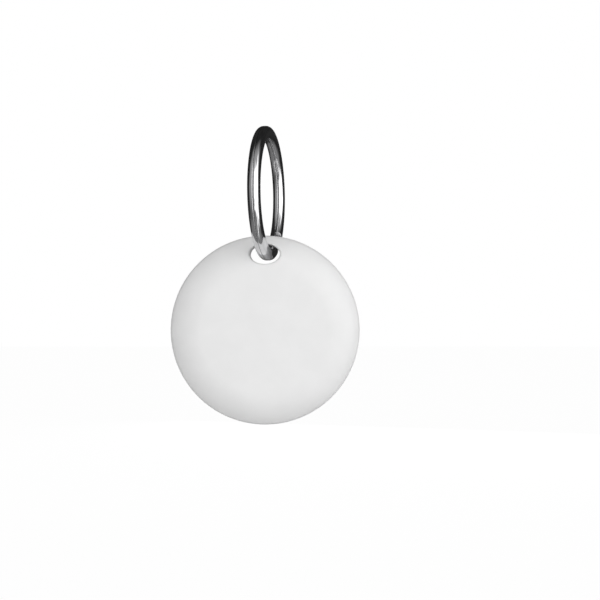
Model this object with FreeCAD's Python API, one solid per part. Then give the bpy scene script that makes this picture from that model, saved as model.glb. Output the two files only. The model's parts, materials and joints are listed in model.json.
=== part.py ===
import FreeCAD, Part
import math
import os

# A round tracker tag on a split key ring, in millimetres, +Z up.
# The tag hangs below the ring and its domed face looks along -Y.
# The origin is the middle of the key ring, on the line about which the hanging tag swings.

V = FreeCAD.Vector

# ---- tag, outside ----
TAG_DIAMETER = 38.0
SHOULDER_REACH = 6.5         # from the edge of the flat face, and of the flat back, to the rim
RIM_RADIUS = 1.9             # rounding of the widest edge, each side of the seam
INNER_FLATS = 2              # flats that follow the shoulder's curve inside the shells
PARTING_GAP = 0.08           # open seam between the two shells
REAR_SHELL_DEPTH = 3.0       # from the seam to the back

# ---- stack from the face to the back ----
FRONT_WALL = 0.8
COMPONENT_SPACE = 1.15
BOARD_THICKNESS = 0.6
CONTACT_GAP = 0.3
CELL_THICKNESS = 3.2
CELL_SURROUND = 9.0          # from the cell's side to the rim, which leaves room for a 20 mm cell
CELL_COVER_GAP = 0.1
REAR_WALL = 0.8

# ---- eyelet ----
EYELET_WIDTH = 6.0
EYELET_HEIGHT = 4.0
EYELET_INSET = 3.8           # from the rim to the eyelet's centre
EYELET_WALL = 0.9
LIP_RADIUS = 0.5

# ---- shells ----
RIM_WALL = 2.0
TONGUE_THICKNESS = 0.8
TONGUE_DEPTH = 0.9
JOINT_GAP = 0.05
CORNER_ROUND = 0.6
POST_INSET = 2.2             # from the cavity's side to the middle of a post
POST_ANGLES = (35.0, 145.0, 220.0, 320.0)
POST_DIAMETER = 2.8
PIN_DIAMETER = 1.4
PIN_CLEARANCE = 0.1
PIN_HEAD_DIAMETER = 2.4
PIN_HEAD_HEIGHT = 0.35

# ---- battery door, in the back ----
CELL_DROP = 1.0              # the cell and its door sit this far below the tag's centre
DOOR_MARGIN = 1.5            # how far the door reaches past the cell
DOOR_GAP = 0.1
DOOR_SPIGOT_WALL = 0.5
DOOR_SPIGOT_DEPTH = 0.9
SEAL_WIDTH = 0.5
SEAL_THICKNESS = 0.3
SEAL_CLEARANCE = 0.05
COLLAR_WALL = 1.0
LEDGE_THICKNESS = 0.75
PRY_NOTCH_WIDTH = 5.0
PRY_NOTCH_REACH = 1.1
PRY_NOTCH_DEPTH = 1.1
PRY_NOTCH_ROUND = 0.75
DOOR_BEVEL = 0.16

# ---- cell cradle ----
CRADLE_CLEARANCE = 0.15
CRADLE_WALL = 0.8
CRADLE_HEIGHT = 2.4
EAR_THICKNESS = 0.8
EAR_RADIUS = 1.7
CLIP_WINDOW_WIDTH = 4.4

# ---- circuit board ----
BOARD_EDGE_GAP = 0.5

# ---- components on the front of the board ----
# Sizes are across, up and off the board. Places are across, then down from the eyelet's centre.
CHIP_WIDTH = 5.0
CHIP_THICKNESS = 0.8
CHIP_PLACE = (-6.2, 10.6)
CHIP_DIMPLE_RADIUS = 0.25
CHIP_DIMPLE_INSET = 0.7
CHIP_DIMPLE_DEPTH = 0.05
CAN_CORNER = 0.1
MAIN_CRYSTAL_SIZE = (2.0, 1.6, 0.5)
MAIN_CRYSTAL_PLACE = (-6.4, 6.3)
WATCH_CRYSTAL_SIZE = (1.5, 3.2, 0.75)
WATCH_CRYSTAL_PLACE = (-1.4, 9.6)
ANTENNA_SIZE = (2.0, 6.0, 0.5)
ANTENNA_EDGE_GAP = 1.8       # from the board's edge to the antenna
INDUCTOR_WIDTH = 3.0
INDUCTOR_THICKNESS = 0.85
INDUCTOR_CORNER = 0.4
INDUCTOR_FLANGE = 0.22
INDUCTOR_WINDING_DEPTH = 0.42
INDUCTOR_PLACE = (5.6, 10.8)
CHIP_PITCH = 1.0
CAPACITOR_SIZE = (0.5, 1.0, 0.5)
RADIO_CAPACITORS_PLACE = (-3.0, 6.8)
SUPPLY_CAPACITORS_ACROSS = -10.2
SUPPLY_CAPACITORS_GAP = 0.35  # from the top of the antenna
SUPPLY_PITCH = 0.75
BULK_CAPACITOR_SIZE = (1.6, 0.8, 0.7)
BULK_CAPACITORS_PLACE = (9.0, 14.0)
BULK_PITCH = 1.6
RESISTOR_SIZE = (0.5, 1.0, 0.35)
SOUNDER_RESISTORS_PLACE = (3.4, 7.6)
ANTENNA_RESISTORS_GAP = 1.8  # from the antenna to the resistors beside it
ANTENNA_RESISTORS_DROP = 1.8

# ---- cell ----
CELL_CAN_WALL = 0.25
CELL_CAN_BEVEL = 0.2
CELL_CAP_WALL = 0.25
CELL_CAP_STEP = 0.25         # how far the cap stands out of the crimped can
CELL_CRIMP_GAP = 0.65        # from the lip of the crimp to the cap
CELL_CAP_FOOT = 0.75
CELL_GASKET_WALL = 0.35
CELL_CRIMP_REACH = 0.75
CATHODE_THICKNESS = 1.8
ANODE_THICKNESS = 0.6

# ---- contacts ----
STRIP_THICKNESS = 0.15
POSITIVE_CLIP_WIDTH = 3.6
POSITIVE_CLIP_FOOT = 2.0
POSITIVE_CLIP_HEIGHT = 2.2
CLIP_CLEARANCE = 0.03
SPRING_THICKNESS = 0.09
NEGATIVE_LEAF_WIDTH = 2.6
NEGATIVE_LEAF_LENGTH = 6.0
SOUNDER_SPRING_WIDTH = 1.0
SOUNDER_SPRING_LENGTH = 1.5
SOUNDER_SPRING_TIP = 1.2

# ---- switch under the middle of the face ----
SWITCH_WIDTH = 3.0
SWITCH_HEIGHT = 2.6
SWITCH_BASE_THICKNESS = 0.62
SWITCH_WALL = 0.35
SWITCH_FLOOR = 0.1
SWITCH_COVER_THICKNESS = 0.1
DOME_RADIUS = 0.9
DOME_THICKNESS = 0.05
DOME_RISE = 0.12
PLUNGER_DIAMETER = 1.3
PLUNGER_STANDOUT = 0.34
PLUNGER_TRAVEL = 0.2
PLUNGER_CLEARANCE = 0.05
PUSHER_DIAMETER = 3.0
PUSHER_GAP = 0.05

# ---- sounder, stuck inside the face ----
SOUNDER_PUSHER_GAP = 0.4     # from the pusher to the sounder's plate
SOUNDER_SHOULDER_REACH = 1.4  # how far the plate reaches past the flat of the face
SOUNDER_PLATE_THICKNESS = 0.12
SOUNDER_BRASS_BORDER = 1.7
SOUNDER_CERAMIC_THICKNESS = 0.14
SOUNDER_SEAT_WIDTH = 0.8
SOUNDER_SEAT_HEIGHT = 0.55
SOUNDER_ADHESIVE_THICKNESS = 0.05

# ---- key ring ----
RING_OUTER_DIAMETER = 26.8
RING_WIRE_DEPTH = 2.6        # across the wire, towards the ring's middle
RING_WIRE_WIDTH = 1.18       # one turn, along the ring's axis
RING_TURN_GAP = 0.04
RING_OUTER_ROUND = 0.72
RING_INNER_ROUND = 0.14
OUTER_ROUND_COUNT = 2        # flats that follow each outer round of the wire
INNER_ROUND_COUNT = 1
RING_CROSSING_START = 22.0   # degrees from the bottom, towards the back
RING_CROSSING_LENGTH = 26.0
RING_YAW = 10.0              # how far the ring is turned from square to the face
RING_SIDE_OFFSET = 0.42
RING_FLOOR_GAP = 0.8         # from the eyelet's lowest point up to the ring's

# ---- derived places, measured from the tag's centre ----
TAG_RADIUS = TAG_DIAMETER / 2
FLAT_RADIUS = TAG_RADIUS - SHOULDER_REACH
TAG_THICKNESS = (FRONT_WALL + COMPONENT_SPACE + BOARD_THICKNESS + CONTACT_GAP
                 + CELL_THICKNESS + CELL_COVER_GAP + REAR_WALL)
FACE_Y = -TAG_THICKNESS / 2
BACK_Y = TAG_THICKNESS / 2
FRONT_INNER_Y = FACE_Y + FRONT_WALL
BOARD_FRONT_Y = FRONT_INNER_Y + COMPONENT_SPACE
BOARD_REAR_Y = BOARD_FRONT_Y + BOARD_THICKNESS
CELL_FRONT_Y = BOARD_REAR_Y + CONTACT_GAP
CELL_REAR_Y = CELL_FRONT_Y + CELL_THICKNESS
DOOR_INNER_Y = BACK_Y - REAR_WALL
LEDGE_REAR_Y = DOOR_INNER_Y - SEAL_THICKNESS
LEDGE_FRONT_Y = LEDGE_REAR_Y - LEDGE_THICKNESS
SEAM_Y = BACK_Y - REAR_SHELL_DEPTH
CELL_Z = -CELL_DROP
EYELET_RISE = TAG_RADIUS - EYELET_INSET
EYELET_REACH = EYELET_WIDTH / 2
MOUTH_RADIUS = TAG_RADIUS - RIM_WALL
CAVITY_RADIUS = MOUTH_RADIUS - TONGUE_THICKNESS
CAVITY_MARGIN = EYELET_WALL + TONGUE_THICKNESS
POST_CIRCLE_RADIUS = CAVITY_RADIUS - POST_INSET
BOARD_RADIUS = CAVITY_RADIUS - BOARD_EDGE_GAP
ANTENNA_X = ANTENNA_SIZE[0] / 2 + ANTENNA_EDGE_GAP - BOARD_RADIUS
SOUNDER_TOP = PUSHER_DIAMETER / 2 + SOUNDER_PUSHER_GAP
SOUNDER_PLATE_DIAMETER = FLAT_RADIUS + SOUNDER_SHOULDER_REACH - SOUNDER_TOP
SOUNDER_CERAMIC_DIAMETER = SOUNDER_PLATE_DIAMETER - 2 * SOUNDER_BRASS_BORDER
SOUNDER_Z = -SOUNDER_TOP - SOUNDER_PLATE_DIAMETER / 2
CELL_RADIUS = TAG_RADIUS - CELL_SURROUND
CELL_CAP_RADIUS = CELL_RADIUS - CELL_CRIMP_REACH - CELL_CRIMP_GAP
DOOR_RADIUS = CELL_RADIUS + DOOR_MARGIN
DOOR_OPENING_RADIUS = DOOR_RADIUS - SEAL_WIDTH - 2 * SEAL_CLEARANCE
DOOR_SPIGOT_RADIUS = DOOR_OPENING_RADIUS - DOOR_GAP
OVERCUT = 1.0                # how far a cutting tool runs past the face it opens
RING_OUTER_RADIUS = RING_OUTER_DIAMETER / 2
RING_HANG_HEIGHT = EYELET_RISE - EYELET_HEIGHT / 2 + RING_FLOOR_GAP + RING_OUTER_RADIUS
RING_MIDDLE = V(RING_SIDE_OFFSET, 0, RING_HANG_HEIGHT)


# ---------------------------------------------------------------- basic forms
def cylinder(radius, y0, y1, x=0.0, z=0.0):
    """Round bar along Y."""
    return Part.makeCylinder(radius, y1 - y0, V(x, y0, z), V(0, 1, 0))


def ring(outer, inner, y0, y1, x=0.0, z=0.0):
    """Flat ring or tube along Y."""
    return cylinder(outer, y0, y1, x, z).cut(cylinder(inner, y0 - OVERCUT, y1 + OVERCUT, x, z))


def block(width, height, y0, y1, x=0.0, z=0.0):
    """Box centred on x and z."""
    return Part.makeBox(width, y1 - y0, height, V(x - width / 2, y0, z - height / 2))


def prism(edges, y0, y1):
    """Closed outline drawn at y = 0, stood up from y0 to y1."""
    solid = Part.Face(Part.Wire(edges)).extrude(V(0, y1 - y0, 0))
    solid.translate(V(0, y0, 0))
    return solid


def eyelet_bore(growth=0.0):
    """Oval bar that cuts the eyelet."""
    oval = Part.Ellipse(V(0, 0, 0), EYELET_WIDTH / 2 + growth, EYELET_HEIGHT / 2 + growth)
    face = Part.Face(Part.Wire([oval.toShape()]))
    face.rotate(V(0, 0, 0), V(1, 0, 0), 90)
    bar = face.extrude(V(0, 2 * TAG_THICKNESS, 0))
    bar.translate(V(0, -TAG_THICKNESS, EYELET_RISE))
    return bar


def notched_outline(radius, margin):
    """Circle with a round notch that keeps it clear of the eyelet, its two corners rounded."""
    boss = EYELET_REACH + margin
    outer = radius - CORNER_ROUND
    inner = boss + CORNER_ROUND
    corner_z = (outer ** 2 - inner ** 2 + EYELET_RISE ** 2) / (2 * EYELET_RISE)
    corner_x = math.sqrt(outer ** 2 - corner_z ** 2)
    eyelet = V(0, 0, EYELET_RISE)

    def corner(side):
        centre = V(side * corner_x, 0, corner_z)
        on_rim = centre * (radius / outer)
        on_boss = eyelet + (centre - eyelet) * (boss / inner)
        towards = (on_rim + on_boss) * 0.5 - centre
        middle = centre + towards * (CORNER_ROUND / towards.Length)
        return on_rim, middle, on_boss

    rim_r, mid_r, boss_r = corner(1)
    rim_l, mid_l, boss_l = corner(-1)
    return [Part.Arc(rim_r, V(0, 0, -radius), rim_l).toShape(),
            Part.Arc(rim_l, mid_l, boss_l).toShape(),
            Part.Arc(boss_l, V(0, 0, EYELET_RISE - boss), boss_r).toShape(),
            Part.Arc(boss_r, mid_r, rim_r).toShape()]


def chamber(radius, margin, y0, y1):
    """Solid of the notched outline, used for every part that goes round the eyelet."""
    return prism(notched_outline(radius, margin), y0, y1)


# ---------------------------------------------------------------- domed halves
def dome(face_y, seam_y, wall=0.0):
    """Half of the pebble turned about Y: flat face, shoulder arc, then rim arc, each tangent to the next.

    With a wall, the form that far inside the outer surface, its shoulder made of flats.
    """
    inward = 1 if seam_y > face_y else -1
    depth = abs(seam_y - face_y)
    rim_radius = TAG_RADIUS - RIM_RADIUS
    reach = rim_radius - FLAT_RADIUS
    shoulder_radius = (reach ** 2 + depth ** 2 - RIM_RADIUS ** 2) / (2 * (depth - RIM_RADIUS))
    rim_start = math.atan2(reach, shoulder_radius - depth)

    def place(radius, below_face):
        return V(radius, face_y + inward * below_face, 0)

    def on_arc(centre_radius, centre_depth, radius, angle):
        inset = radius - wall
        return place(centre_radius + inset * math.sin(angle), centre_depth - inset * math.cos(angle))

    def on_shoulder(share):
        return on_arc(FLAT_RADIUS, shoulder_radius, shoulder_radius, rim_start * share)

    def on_rim(share):
        return on_arc(rim_radius, depth, RIM_RADIUS, rim_start + (math.pi / 2 - rim_start) * share)

    centre = place(0, wall)
    middle = place(0, depth)
    edges = [Part.makeLine(centre, on_shoulder(0))]
    if wall > 0:
        corners = [on_shoulder(step / INNER_FLATS) for step in range(INNER_FLATS + 1)] + [on_rim(1)]
        edges += [Part.makeLine(here, there) for here, there in zip(corners, corners[1:])]
    else:
        edges.append(Part.Arc(on_shoulder(0), on_shoulder(0.5), on_shoulder(1)).toShape())
        edges.append(Part.Arc(on_rim(0), on_rim(0.5), on_rim(1)).toShape())
    edges += [Part.makeLine(on_rim(1), middle), Part.makeLine(middle, centre)]
    return Part.Face(Part.Wire(edges)).revolve(V(0, 0, 0), V(0, 1, 0), 360)


def open_eyelet(shell, face_y):
    """Cut the eyelet through a domed half and round its outer lip."""
    opened = shell.cut(eyelet_bore())
    outermost = [e for e in opened.Edges
                 if e.isClosed() and abs(e.BoundBox.XLength - EYELET_WIDTH) < EYELET_WIDTH / 10
                 and abs(e.BoundBox.YMin - SEAM_Y) > PARTING_GAP]
    lip = [e for e in outermost if abs(e.CenterOfMass.y - face_y) < TAG_THICKNESS / 2]
    return opened.makeFillet(LIP_RADIUS, lip)


def post_places():
    """Where the four board posts stand, as (x, z)."""
    for angle in POST_ANGLES:
        turn = math.radians(angle)
        yield POST_CIRCLE_RADIUS * math.cos(turn), POST_CIRCLE_RADIUS * math.sin(turn)


# ---------------------------------------------------------------- shells
def make_front_shell():
    """Domed face with the front half of the eyelet, board posts, sounder seat and pusher."""
    front_seam = SEAM_Y - PARTING_GAP
    outer = dome(FACE_Y, SEAM_Y)
    outer = outer.common(cylinder(TAG_RADIUS + OVERCUT, FACE_Y - OVERCUT, front_seam))
    shell = open_eyelet(outer, FACE_Y)
    inner = dome(FACE_Y, SEAM_Y, FRONT_WALL)
    shell = shell.cut(inner.common(chamber(CAVITY_RADIUS, CAVITY_MARGIN, FACE_Y, SEAM_Y)))
    mouth_floor = SEAM_Y - TONGUE_DEPTH - JOINT_GAP
    shell = shell.cut(chamber(MOUTH_RADIUS, EYELET_WALL, mouth_floor, SEAM_Y + OVERCUT))

    outer_skin = dome(FACE_Y, SEAM_Y, FRONT_WALL / 2)
    ear_rear = BOARD_REAR_Y + EAR_THICKNESS
    for x, z in post_places():
        post = cylinder(POST_DIAMETER / 2, FACE_Y, BOARD_FRONT_Y, x, z).common(outer_skin)
        pin = cylinder(PIN_DIAMETER / 2, BOARD_FRONT_Y, ear_rear, x, z)
        head = cylinder(PIN_HEAD_DIAMETER / 2, ear_rear, ear_rear + PIN_HEAD_HEIGHT, x, z)
        shell = shell.fuse([post, pin, head])
    pusher_end = switch_plunger_front() - PUSHER_GAP
    pusher = cylinder(PUSHER_DIAMETER / 2, FRONT_INNER_Y - FRONT_WALL / 2, pusher_end)
    seat = ring(SOUNDER_PLATE_DIAMETER / 2, SOUNDER_PLATE_DIAMETER / 2 - SOUNDER_SEAT_WIDTH,
                FACE_Y, sounder_seat_y(), 0, SOUNDER_Z).common(outer_skin)
    return shell.fuse([pusher, seat]).removeSplitter()


def make_rear_shell():
    """Back half: tongue that fits in the front shell, rear half of the eyelet, door recess."""
    shell = open_eyelet(dome(BACK_Y, SEAM_Y), BACK_Y)
    inner = dome(BACK_Y, SEAM_Y, REAR_WALL)
    shell = shell.cut(inner.common(chamber(CAVITY_RADIUS, CAVITY_MARGIN, SEAM_Y, BACK_Y)))
    tongue_front = SEAM_Y - TONGUE_DEPTH
    tongue = chamber(MOUTH_RADIUS - JOINT_GAP, EYELET_WALL + JOINT_GAP, tongue_front, SEAM_Y)
    tongue = tongue.cut(chamber(CAVITY_RADIUS, CAVITY_MARGIN, tongue_front, SEAM_Y))
    collar_radius = DOOR_RADIUS + DOOR_GAP + COLLAR_WALL
    collar = cylinder(collar_radius, LEDGE_FRONT_Y, BACK_Y - REAR_WALL / 2, 0, CELL_Z)
    shell = shell.fuse([tongue, collar])
    shell = shell.cut(cylinder(DOOR_OPENING_RADIUS, LEDGE_FRONT_Y - OVERCUT, BACK_Y + OVERCUT, 0, CELL_Z))
    shell = shell.cut(cylinder(DOOR_RADIUS + DOOR_GAP, LEDGE_REAR_Y, BACK_Y + OVERCUT, 0, CELL_Z))
    notch_z = CELL_Z - DOOR_RADIUS
    notch_floor = BACK_Y - PRY_NOTCH_DEPTH
    notch = block(PRY_NOTCH_WIDTH, 2 * PRY_NOTCH_REACH, notch_floor, BACK_Y + OVERCUT, 0, notch_z)
    upright = [e for e in notch.Edges if e.BoundBox.YLength > PRY_NOTCH_DEPTH]
    notch = notch.makeFillet(PRY_NOTCH_ROUND, upright)
    notch = notch.cut(cylinder(DOOR_RADIUS, BACK_Y - REAR_WALL - OVERCUT, BACK_Y + OVERCUT, 0, CELL_Z))
    return shell.cut(notch).removeSplitter()


def make_battery_door():
    """Round lid with a spigot that goes into the back."""
    lid = cylinder(DOOR_RADIUS, DOOR_INNER_Y, BACK_Y, 0, CELL_Z)
    rear_edge = [e for e in lid.Edges if e.BoundBox.YMin > DOOR_INNER_Y + DOOR_BEVEL]
    lid = lid.makeChamfer(DOOR_BEVEL, rear_edge)
    spigot = ring(DOOR_SPIGOT_RADIUS, DOOR_SPIGOT_RADIUS - DOOR_SPIGOT_WALL,
                  DOOR_INNER_Y - DOOR_SPIGOT_DEPTH, DOOR_INNER_Y, 0, CELL_Z)
    return lid.fuse(spigot).removeSplitter()


def make_door_seal():
    """Flat silicone ring between the door's flange and the ledge in the back."""
    outer = DOOR_RADIUS - SEAL_CLEARANCE
    return ring(outer, outer - SEAL_WIDTH, LEDGE_REAR_Y, DOOR_INNER_Y, 0, CELL_Z)


# ---------------------------------------------------------------- board and cradle
def pin_hole(y0, y1, x, z):
    """Clearance hole for one pin, cut through from y0 to y1."""
    return cylinder(PIN_DIAMETER / 2 + PIN_CLEARANCE, y0 - OVERCUT, y1 + OVERCUT, x, z)


def make_circuit_board():
    """Round board, notched round the eyelet and drilled for the four pins."""
    board = chamber(BOARD_RADIUS, CAVITY_MARGIN + BOARD_EDGE_GAP, BOARD_FRONT_Y, BOARD_REAR_Y)
    for x, z in post_places():
        board = board.cut(pin_hole(BOARD_FRONT_Y, BOARD_REAR_Y, x, z))
    return board


def make_battery_cradle():
    """Moulded ring that centres the cell, with four ears held under the pin heads."""
    bore = CELL_RADIUS + CRADLE_CLEARANCE
    outer = bore + CRADLE_WALL
    body = cylinder(outer, BOARD_REAR_Y, BOARD_REAR_Y + CRADLE_HEIGHT, 0, CELL_Z)
    ear_rear = BOARD_REAR_Y + EAR_THICKNESS
    for x, z in post_places():
        body = body.fuse(cylinder(EAR_RADIUS, BOARD_REAR_Y, ear_rear, x, z))
        reach = math.hypot(x, z - CELL_Z)
        arm = Part.makeBox(reach, EAR_THICKNESS, 2 * EAR_RADIUS, V(0, BOARD_REAR_Y, -EAR_RADIUS))
        arm.rotate(V(0, 0, 0), V(0, 1, 0), -math.degrees(math.atan2(z - CELL_Z, x)))
        arm.translate(V(0, 0, CELL_Z))
        body = body.fuse(arm)
    rear = BOARD_REAR_Y + CRADLE_HEIGHT
    body = body.cut(cylinder(bore, BOARD_REAR_Y - OVERCUT, rear + OVERCUT, 0, CELL_Z))
    for x, z in post_places():
        body = body.cut(pin_hole(BOARD_REAR_Y, ear_rear, x, z))
    window = Part.makeBox(2 * outer, CRADLE_HEIGHT + 2 * OVERCUT, CLIP_WINDOW_WIDTH,
                          V(0, BOARD_REAR_Y - OVERCUT, CELL_Z - CLIP_WINDOW_WIDTH / 2))
    return body.cut(window).removeSplitter()


def on_board(width, height, thickness, x, z, corner=0.0):
    """Component soldered on the front of the board."""
    part = block(width, height, BOARD_FRONT_Y - thickness, BOARD_FRONT_Y, x, z)
    if corner > 0:
        part = part.makeFillet(corner, [e for e in part.Edges if e.BoundBox.YLength > thickness / 2])
    return part


def from_eyelet(place):
    """A place given across and down from the eyelet's centre, as (x, z)."""
    across, down = place
    return across, EYELET_RISE - down


def make_bluetooth_chip():
    """Square radio chip, with the small dimple that marks its first pin."""
    x, z = from_eyelet(CHIP_PLACE)
    chip = on_board(CHIP_WIDTH, CHIP_WIDTH, CHIP_THICKNESS, x, z)
    chip_front = BOARD_FRONT_Y - CHIP_THICKNESS
    dimple_floor = chip_front + CHIP_DIMPLE_DEPTH
    aside = CHIP_WIDTH / 2 - CHIP_DIMPLE_INSET
    dimple = cylinder(CHIP_DIMPLE_RADIUS, chip_front - OVERCUT, dimple_floor, x - aside, z + aside)
    return chip.cut(dimple)


def make_main_crystal():
    return on_board(*MAIN_CRYSTAL_SIZE, *from_eyelet(MAIN_CRYSTAL_PLACE), CAN_CORNER)


def make_watch_crystal():
    return on_board(*WATCH_CRYSTAL_SIZE, *from_eyelet(WATCH_CRYSTAL_PLACE), CAN_CORNER)


def make_chip_antenna():
    """Ceramic bar at the board's edge, away from the cell."""
    return on_board(*ANTENNA_SIZE, ANTENNA_X, 0, CAN_CORNER)


def make_drive_inductor():
    """Drum coil that raises the voltage for the sounder, its winding space open on both sides."""
    x, z = from_eyelet(INDUCTOR_PLACE)
    core = on_board(INDUCTOR_WIDTH, INDUCTOR_WIDTH, INDUCTOR_THICKNESS, x, z, INDUCTOR_CORNER)
    front = BOARD_FRONT_Y - INDUCTOR_THICKNESS
    space = (front + INDUCTOR_FLANGE, BOARD_FRONT_Y - INDUCTOR_FLANGE)
    for side in (-1, 1):
        middle = x + side * (INDUCTOR_WIDTH - INDUCTOR_WINDING_DEPTH)
        core = core.cut(block(INDUCTOR_WIDTH, INDUCTOR_WIDTH / 2, *space, middle, z))
    return core


def chip_row(size, first, count, step_x, step_z):
    """Row of like chip components, each a solid of its own."""
    x, z = first
    return [on_board(*size, x + i * step_x, z + i * step_z) for i in range(count)]


def make_chip_capacitors():
    parts = chip_row(CAPACITOR_SIZE, from_eyelet(RADIO_CAPACITORS_PLACE), 4, CHIP_PITCH, 0)
    lying = turned_flat(CAPACITOR_SIZE)
    above_antenna = ANTENNA_SIZE[1] / 2 + SUPPLY_CAPACITORS_GAP + lying[1] / 2
    parts += chip_row(lying, (SUPPLY_CAPACITORS_ACROSS, above_antenna), 3, 0, SUPPLY_PITCH)
    parts += chip_row(BULK_CAPACITOR_SIZE, from_eyelet(BULK_CAPACITORS_PLACE), 2, 0, -BULK_PITCH)
    return Part.makeCompound(parts)


def make_chip_resistors():
    parts = chip_row(RESISTOR_SIZE, from_eyelet(SOUNDER_RESISTORS_PLACE), 3, CHIP_PITCH, 0)
    lying = turned_flat(RESISTOR_SIZE)
    beside_antenna = ANTENNA_X + ANTENNA_SIZE[0] / 2 + ANTENNA_RESISTORS_GAP + lying[0] / 2
    parts += chip_row(lying, (beside_antenna, -ANTENNA_RESISTORS_DROP), 3, 0, -CHIP_PITCH)
    return Part.makeCompound(parts)


def turned_flat(size):
    """The same component lying across instead of upright."""
    width, height, thickness = size
    return height, width, thickness


# ---------------------------------------------------------------- contacts
def make_positive_contact():
    """Bent strip: a foot on the board and an arm that bears on the side of the cell."""
    inner_x = CELL_RADIUS + CLIP_CLEARANCE
    arm = Part.makeBox(STRIP_THICKNESS, POSITIVE_CLIP_HEIGHT, POSITIVE_CLIP_WIDTH,
                       V(inner_x, BOARD_REAR_Y, CELL_Z - POSITIVE_CLIP_WIDTH / 2))
    foot = Part.makeBox(POSITIVE_CLIP_FOOT, STRIP_THICKNESS, POSITIVE_CLIP_WIDTH,
                        V(inner_x, BOARD_REAR_Y, CELL_Z - POSITIVE_CLIP_WIDTH / 2))
    return arm.fuse(foot).removeSplitter()


def make_negative_contact():
    """Leaf spring on the board, arched up to the cell's cap."""
    thickness = SPRING_THICKNESS
    half = NEGATIVE_LEAF_LENGTH / 2
    rise = CONTACT_GAP - CLIP_CLEARANCE - thickness
    base = BOARD_REAR_Y
    lower = Part.Arc(V(-half, base, 0), V(0, base + rise, 0), V(half, base, 0)).toShape()
    upper = Part.Arc(V(half, base + thickness, 0), V(0, base + rise + thickness, 0),
                     V(-half, base + thickness, 0)).toShape()
    ends = [Part.makeLine(V(half, base, 0), V(half, base + thickness, 0)),
            Part.makeLine(V(-half, base + thickness, 0), V(-half, base, 0))]
    leaf = Part.Face(Part.Wire([lower, ends[0], upper, ends[1]])).extrude(V(0, 0, NEGATIVE_LEAF_WIDTH))
    leaf.translate(V(0, 0, CELL_Z - NEGATIVE_LEAF_WIDTH / 2))
    return leaf


# ---------------------------------------------------------------- coin cell
def turned(points):
    """Profile of (radius, y) points turned about the cell's axis."""
    corners = [V(r, y, 0) for r, y in points]
    face = Part.Face(Part.makePolygon(corners + corners[:1]))
    solid = face.revolve(V(0, 0, 0), V(0, 1, 0), 360)
    solid.translate(V(0, 0, CELL_Z))
    return solid


def crimp_y():
    return CELL_FRONT_Y + CELL_CAP_STEP


def make_cell_can():
    """Steel cup: flat positive face, straight side and a crimp turned in over the gasket."""
    wall = CELL_CAN_WALL
    side = CELL_RADIUS
    can = turned([(0, CELL_REAR_Y), (side, CELL_REAR_Y), (side, crimp_y()),
                  (side - CELL_CRIMP_REACH, crimp_y()), (side - CELL_CRIMP_REACH, crimp_y() + wall),
                  (side - wall, crimp_y() + wall), (side - wall, CELL_REAR_Y - wall),
                  (0, CELL_REAR_Y - wall)])
    outer = [e for e in can.Edges if e.BoundBox.XLength > 2 * side - wall / 2]
    return can.makeChamfer(CELL_CAN_BEVEL, outer)


def make_cell_cap():
    """Negative cap: a shallow steel cup whose turned-out foot is held in the gasket."""
    wall = CELL_CAP_WALL
    face_y = CELL_FRONT_Y
    foot_y = face_y + CELL_CAP_STEP + CELL_CAN_WALL + CELL_GASKET_WALL
    foot = CELL_RADIUS - CELL_CAN_WALL - CELL_GASKET_WALL
    foot_end = foot_y + CELL_CAP_FOOT
    return turned([(0, face_y), (CELL_CAP_RADIUS, face_y), (CELL_CAP_RADIUS, foot_y), (foot, foot_y),
                   (foot, foot_end), (foot - wall, foot_end), (foot - wall, foot_y + wall),
                   (CELL_CAP_RADIUS - wall, foot_y + wall), (CELL_CAP_RADIUS - wall, face_y + wall),
                   (0, face_y + wall)])


def make_cell_gasket():
    """Nylon ring between the can and the cap."""
    outer = CELL_RADIUS - CELL_CAN_WALL
    inner = outer - CELL_GASKET_WALL
    top = crimp_y() + CELL_CAN_WALL
    bottom = cathode_front_y()
    foot = inner - 2 * CELL_CAP_WALL
    under_cap = top + CELL_GASKET_WALL + CELL_CAP_FOOT
    seat = top + CELL_GASKET_WALL
    return turned([(CELL_CAP_RADIUS, top), (outer, top), (outer, bottom), (foot, bottom),
                   (foot, under_cap), (inner, under_cap), (inner, seat), (CELL_CAP_RADIUS, seat)])


def cathode_front_y():
    return CELL_REAR_Y - CELL_CAN_WALL - CATHODE_THICKNESS / 2


def make_cell_cathode():
    """Pressed pellet that lies in the can."""
    radius = CELL_RADIUS - CELL_CAN_WALL - CELL_GASKET_WALL - 2 * CELL_CAP_WALL
    pellet_rear = CELL_REAR_Y - CELL_CAN_WALL
    return cylinder(radius - PIN_CLEARANCE, pellet_rear - CATHODE_THICKNESS, pellet_rear, 0, CELL_Z)


def make_cell_anode():
    """Lithium disc pressed into the cap."""
    front = CELL_FRONT_Y + CELL_CAP_WALL
    return cylinder(CELL_CAP_RADIUS - 2 * CELL_CAP_WALL, front, front + ANODE_THICKNESS, 0, CELL_Z)


# ---------------------------------------------------------------- switch
def switch_front_y():
    """Front of the switch's moulded base, on which its steel cover lies."""
    return BOARD_FRONT_Y - SWITCH_BASE_THICKNESS


def switch_plunger_front():
    return switch_front_y() - PLUNGER_STANDOUT


def make_switch_base():
    """Moulded tray, open to the front."""
    base = on_board(SWITCH_WIDTH, SWITCH_HEIGHT, SWITCH_BASE_THICKNESS, 0, 0)
    well = block(SWITCH_WIDTH - 2 * SWITCH_WALL, SWITCH_HEIGHT - 2 * SWITCH_WALL,
                 switch_front_y() - OVERCUT, BOARD_FRONT_Y - SWITCH_FLOOR)
    return base.cut(well)


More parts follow.
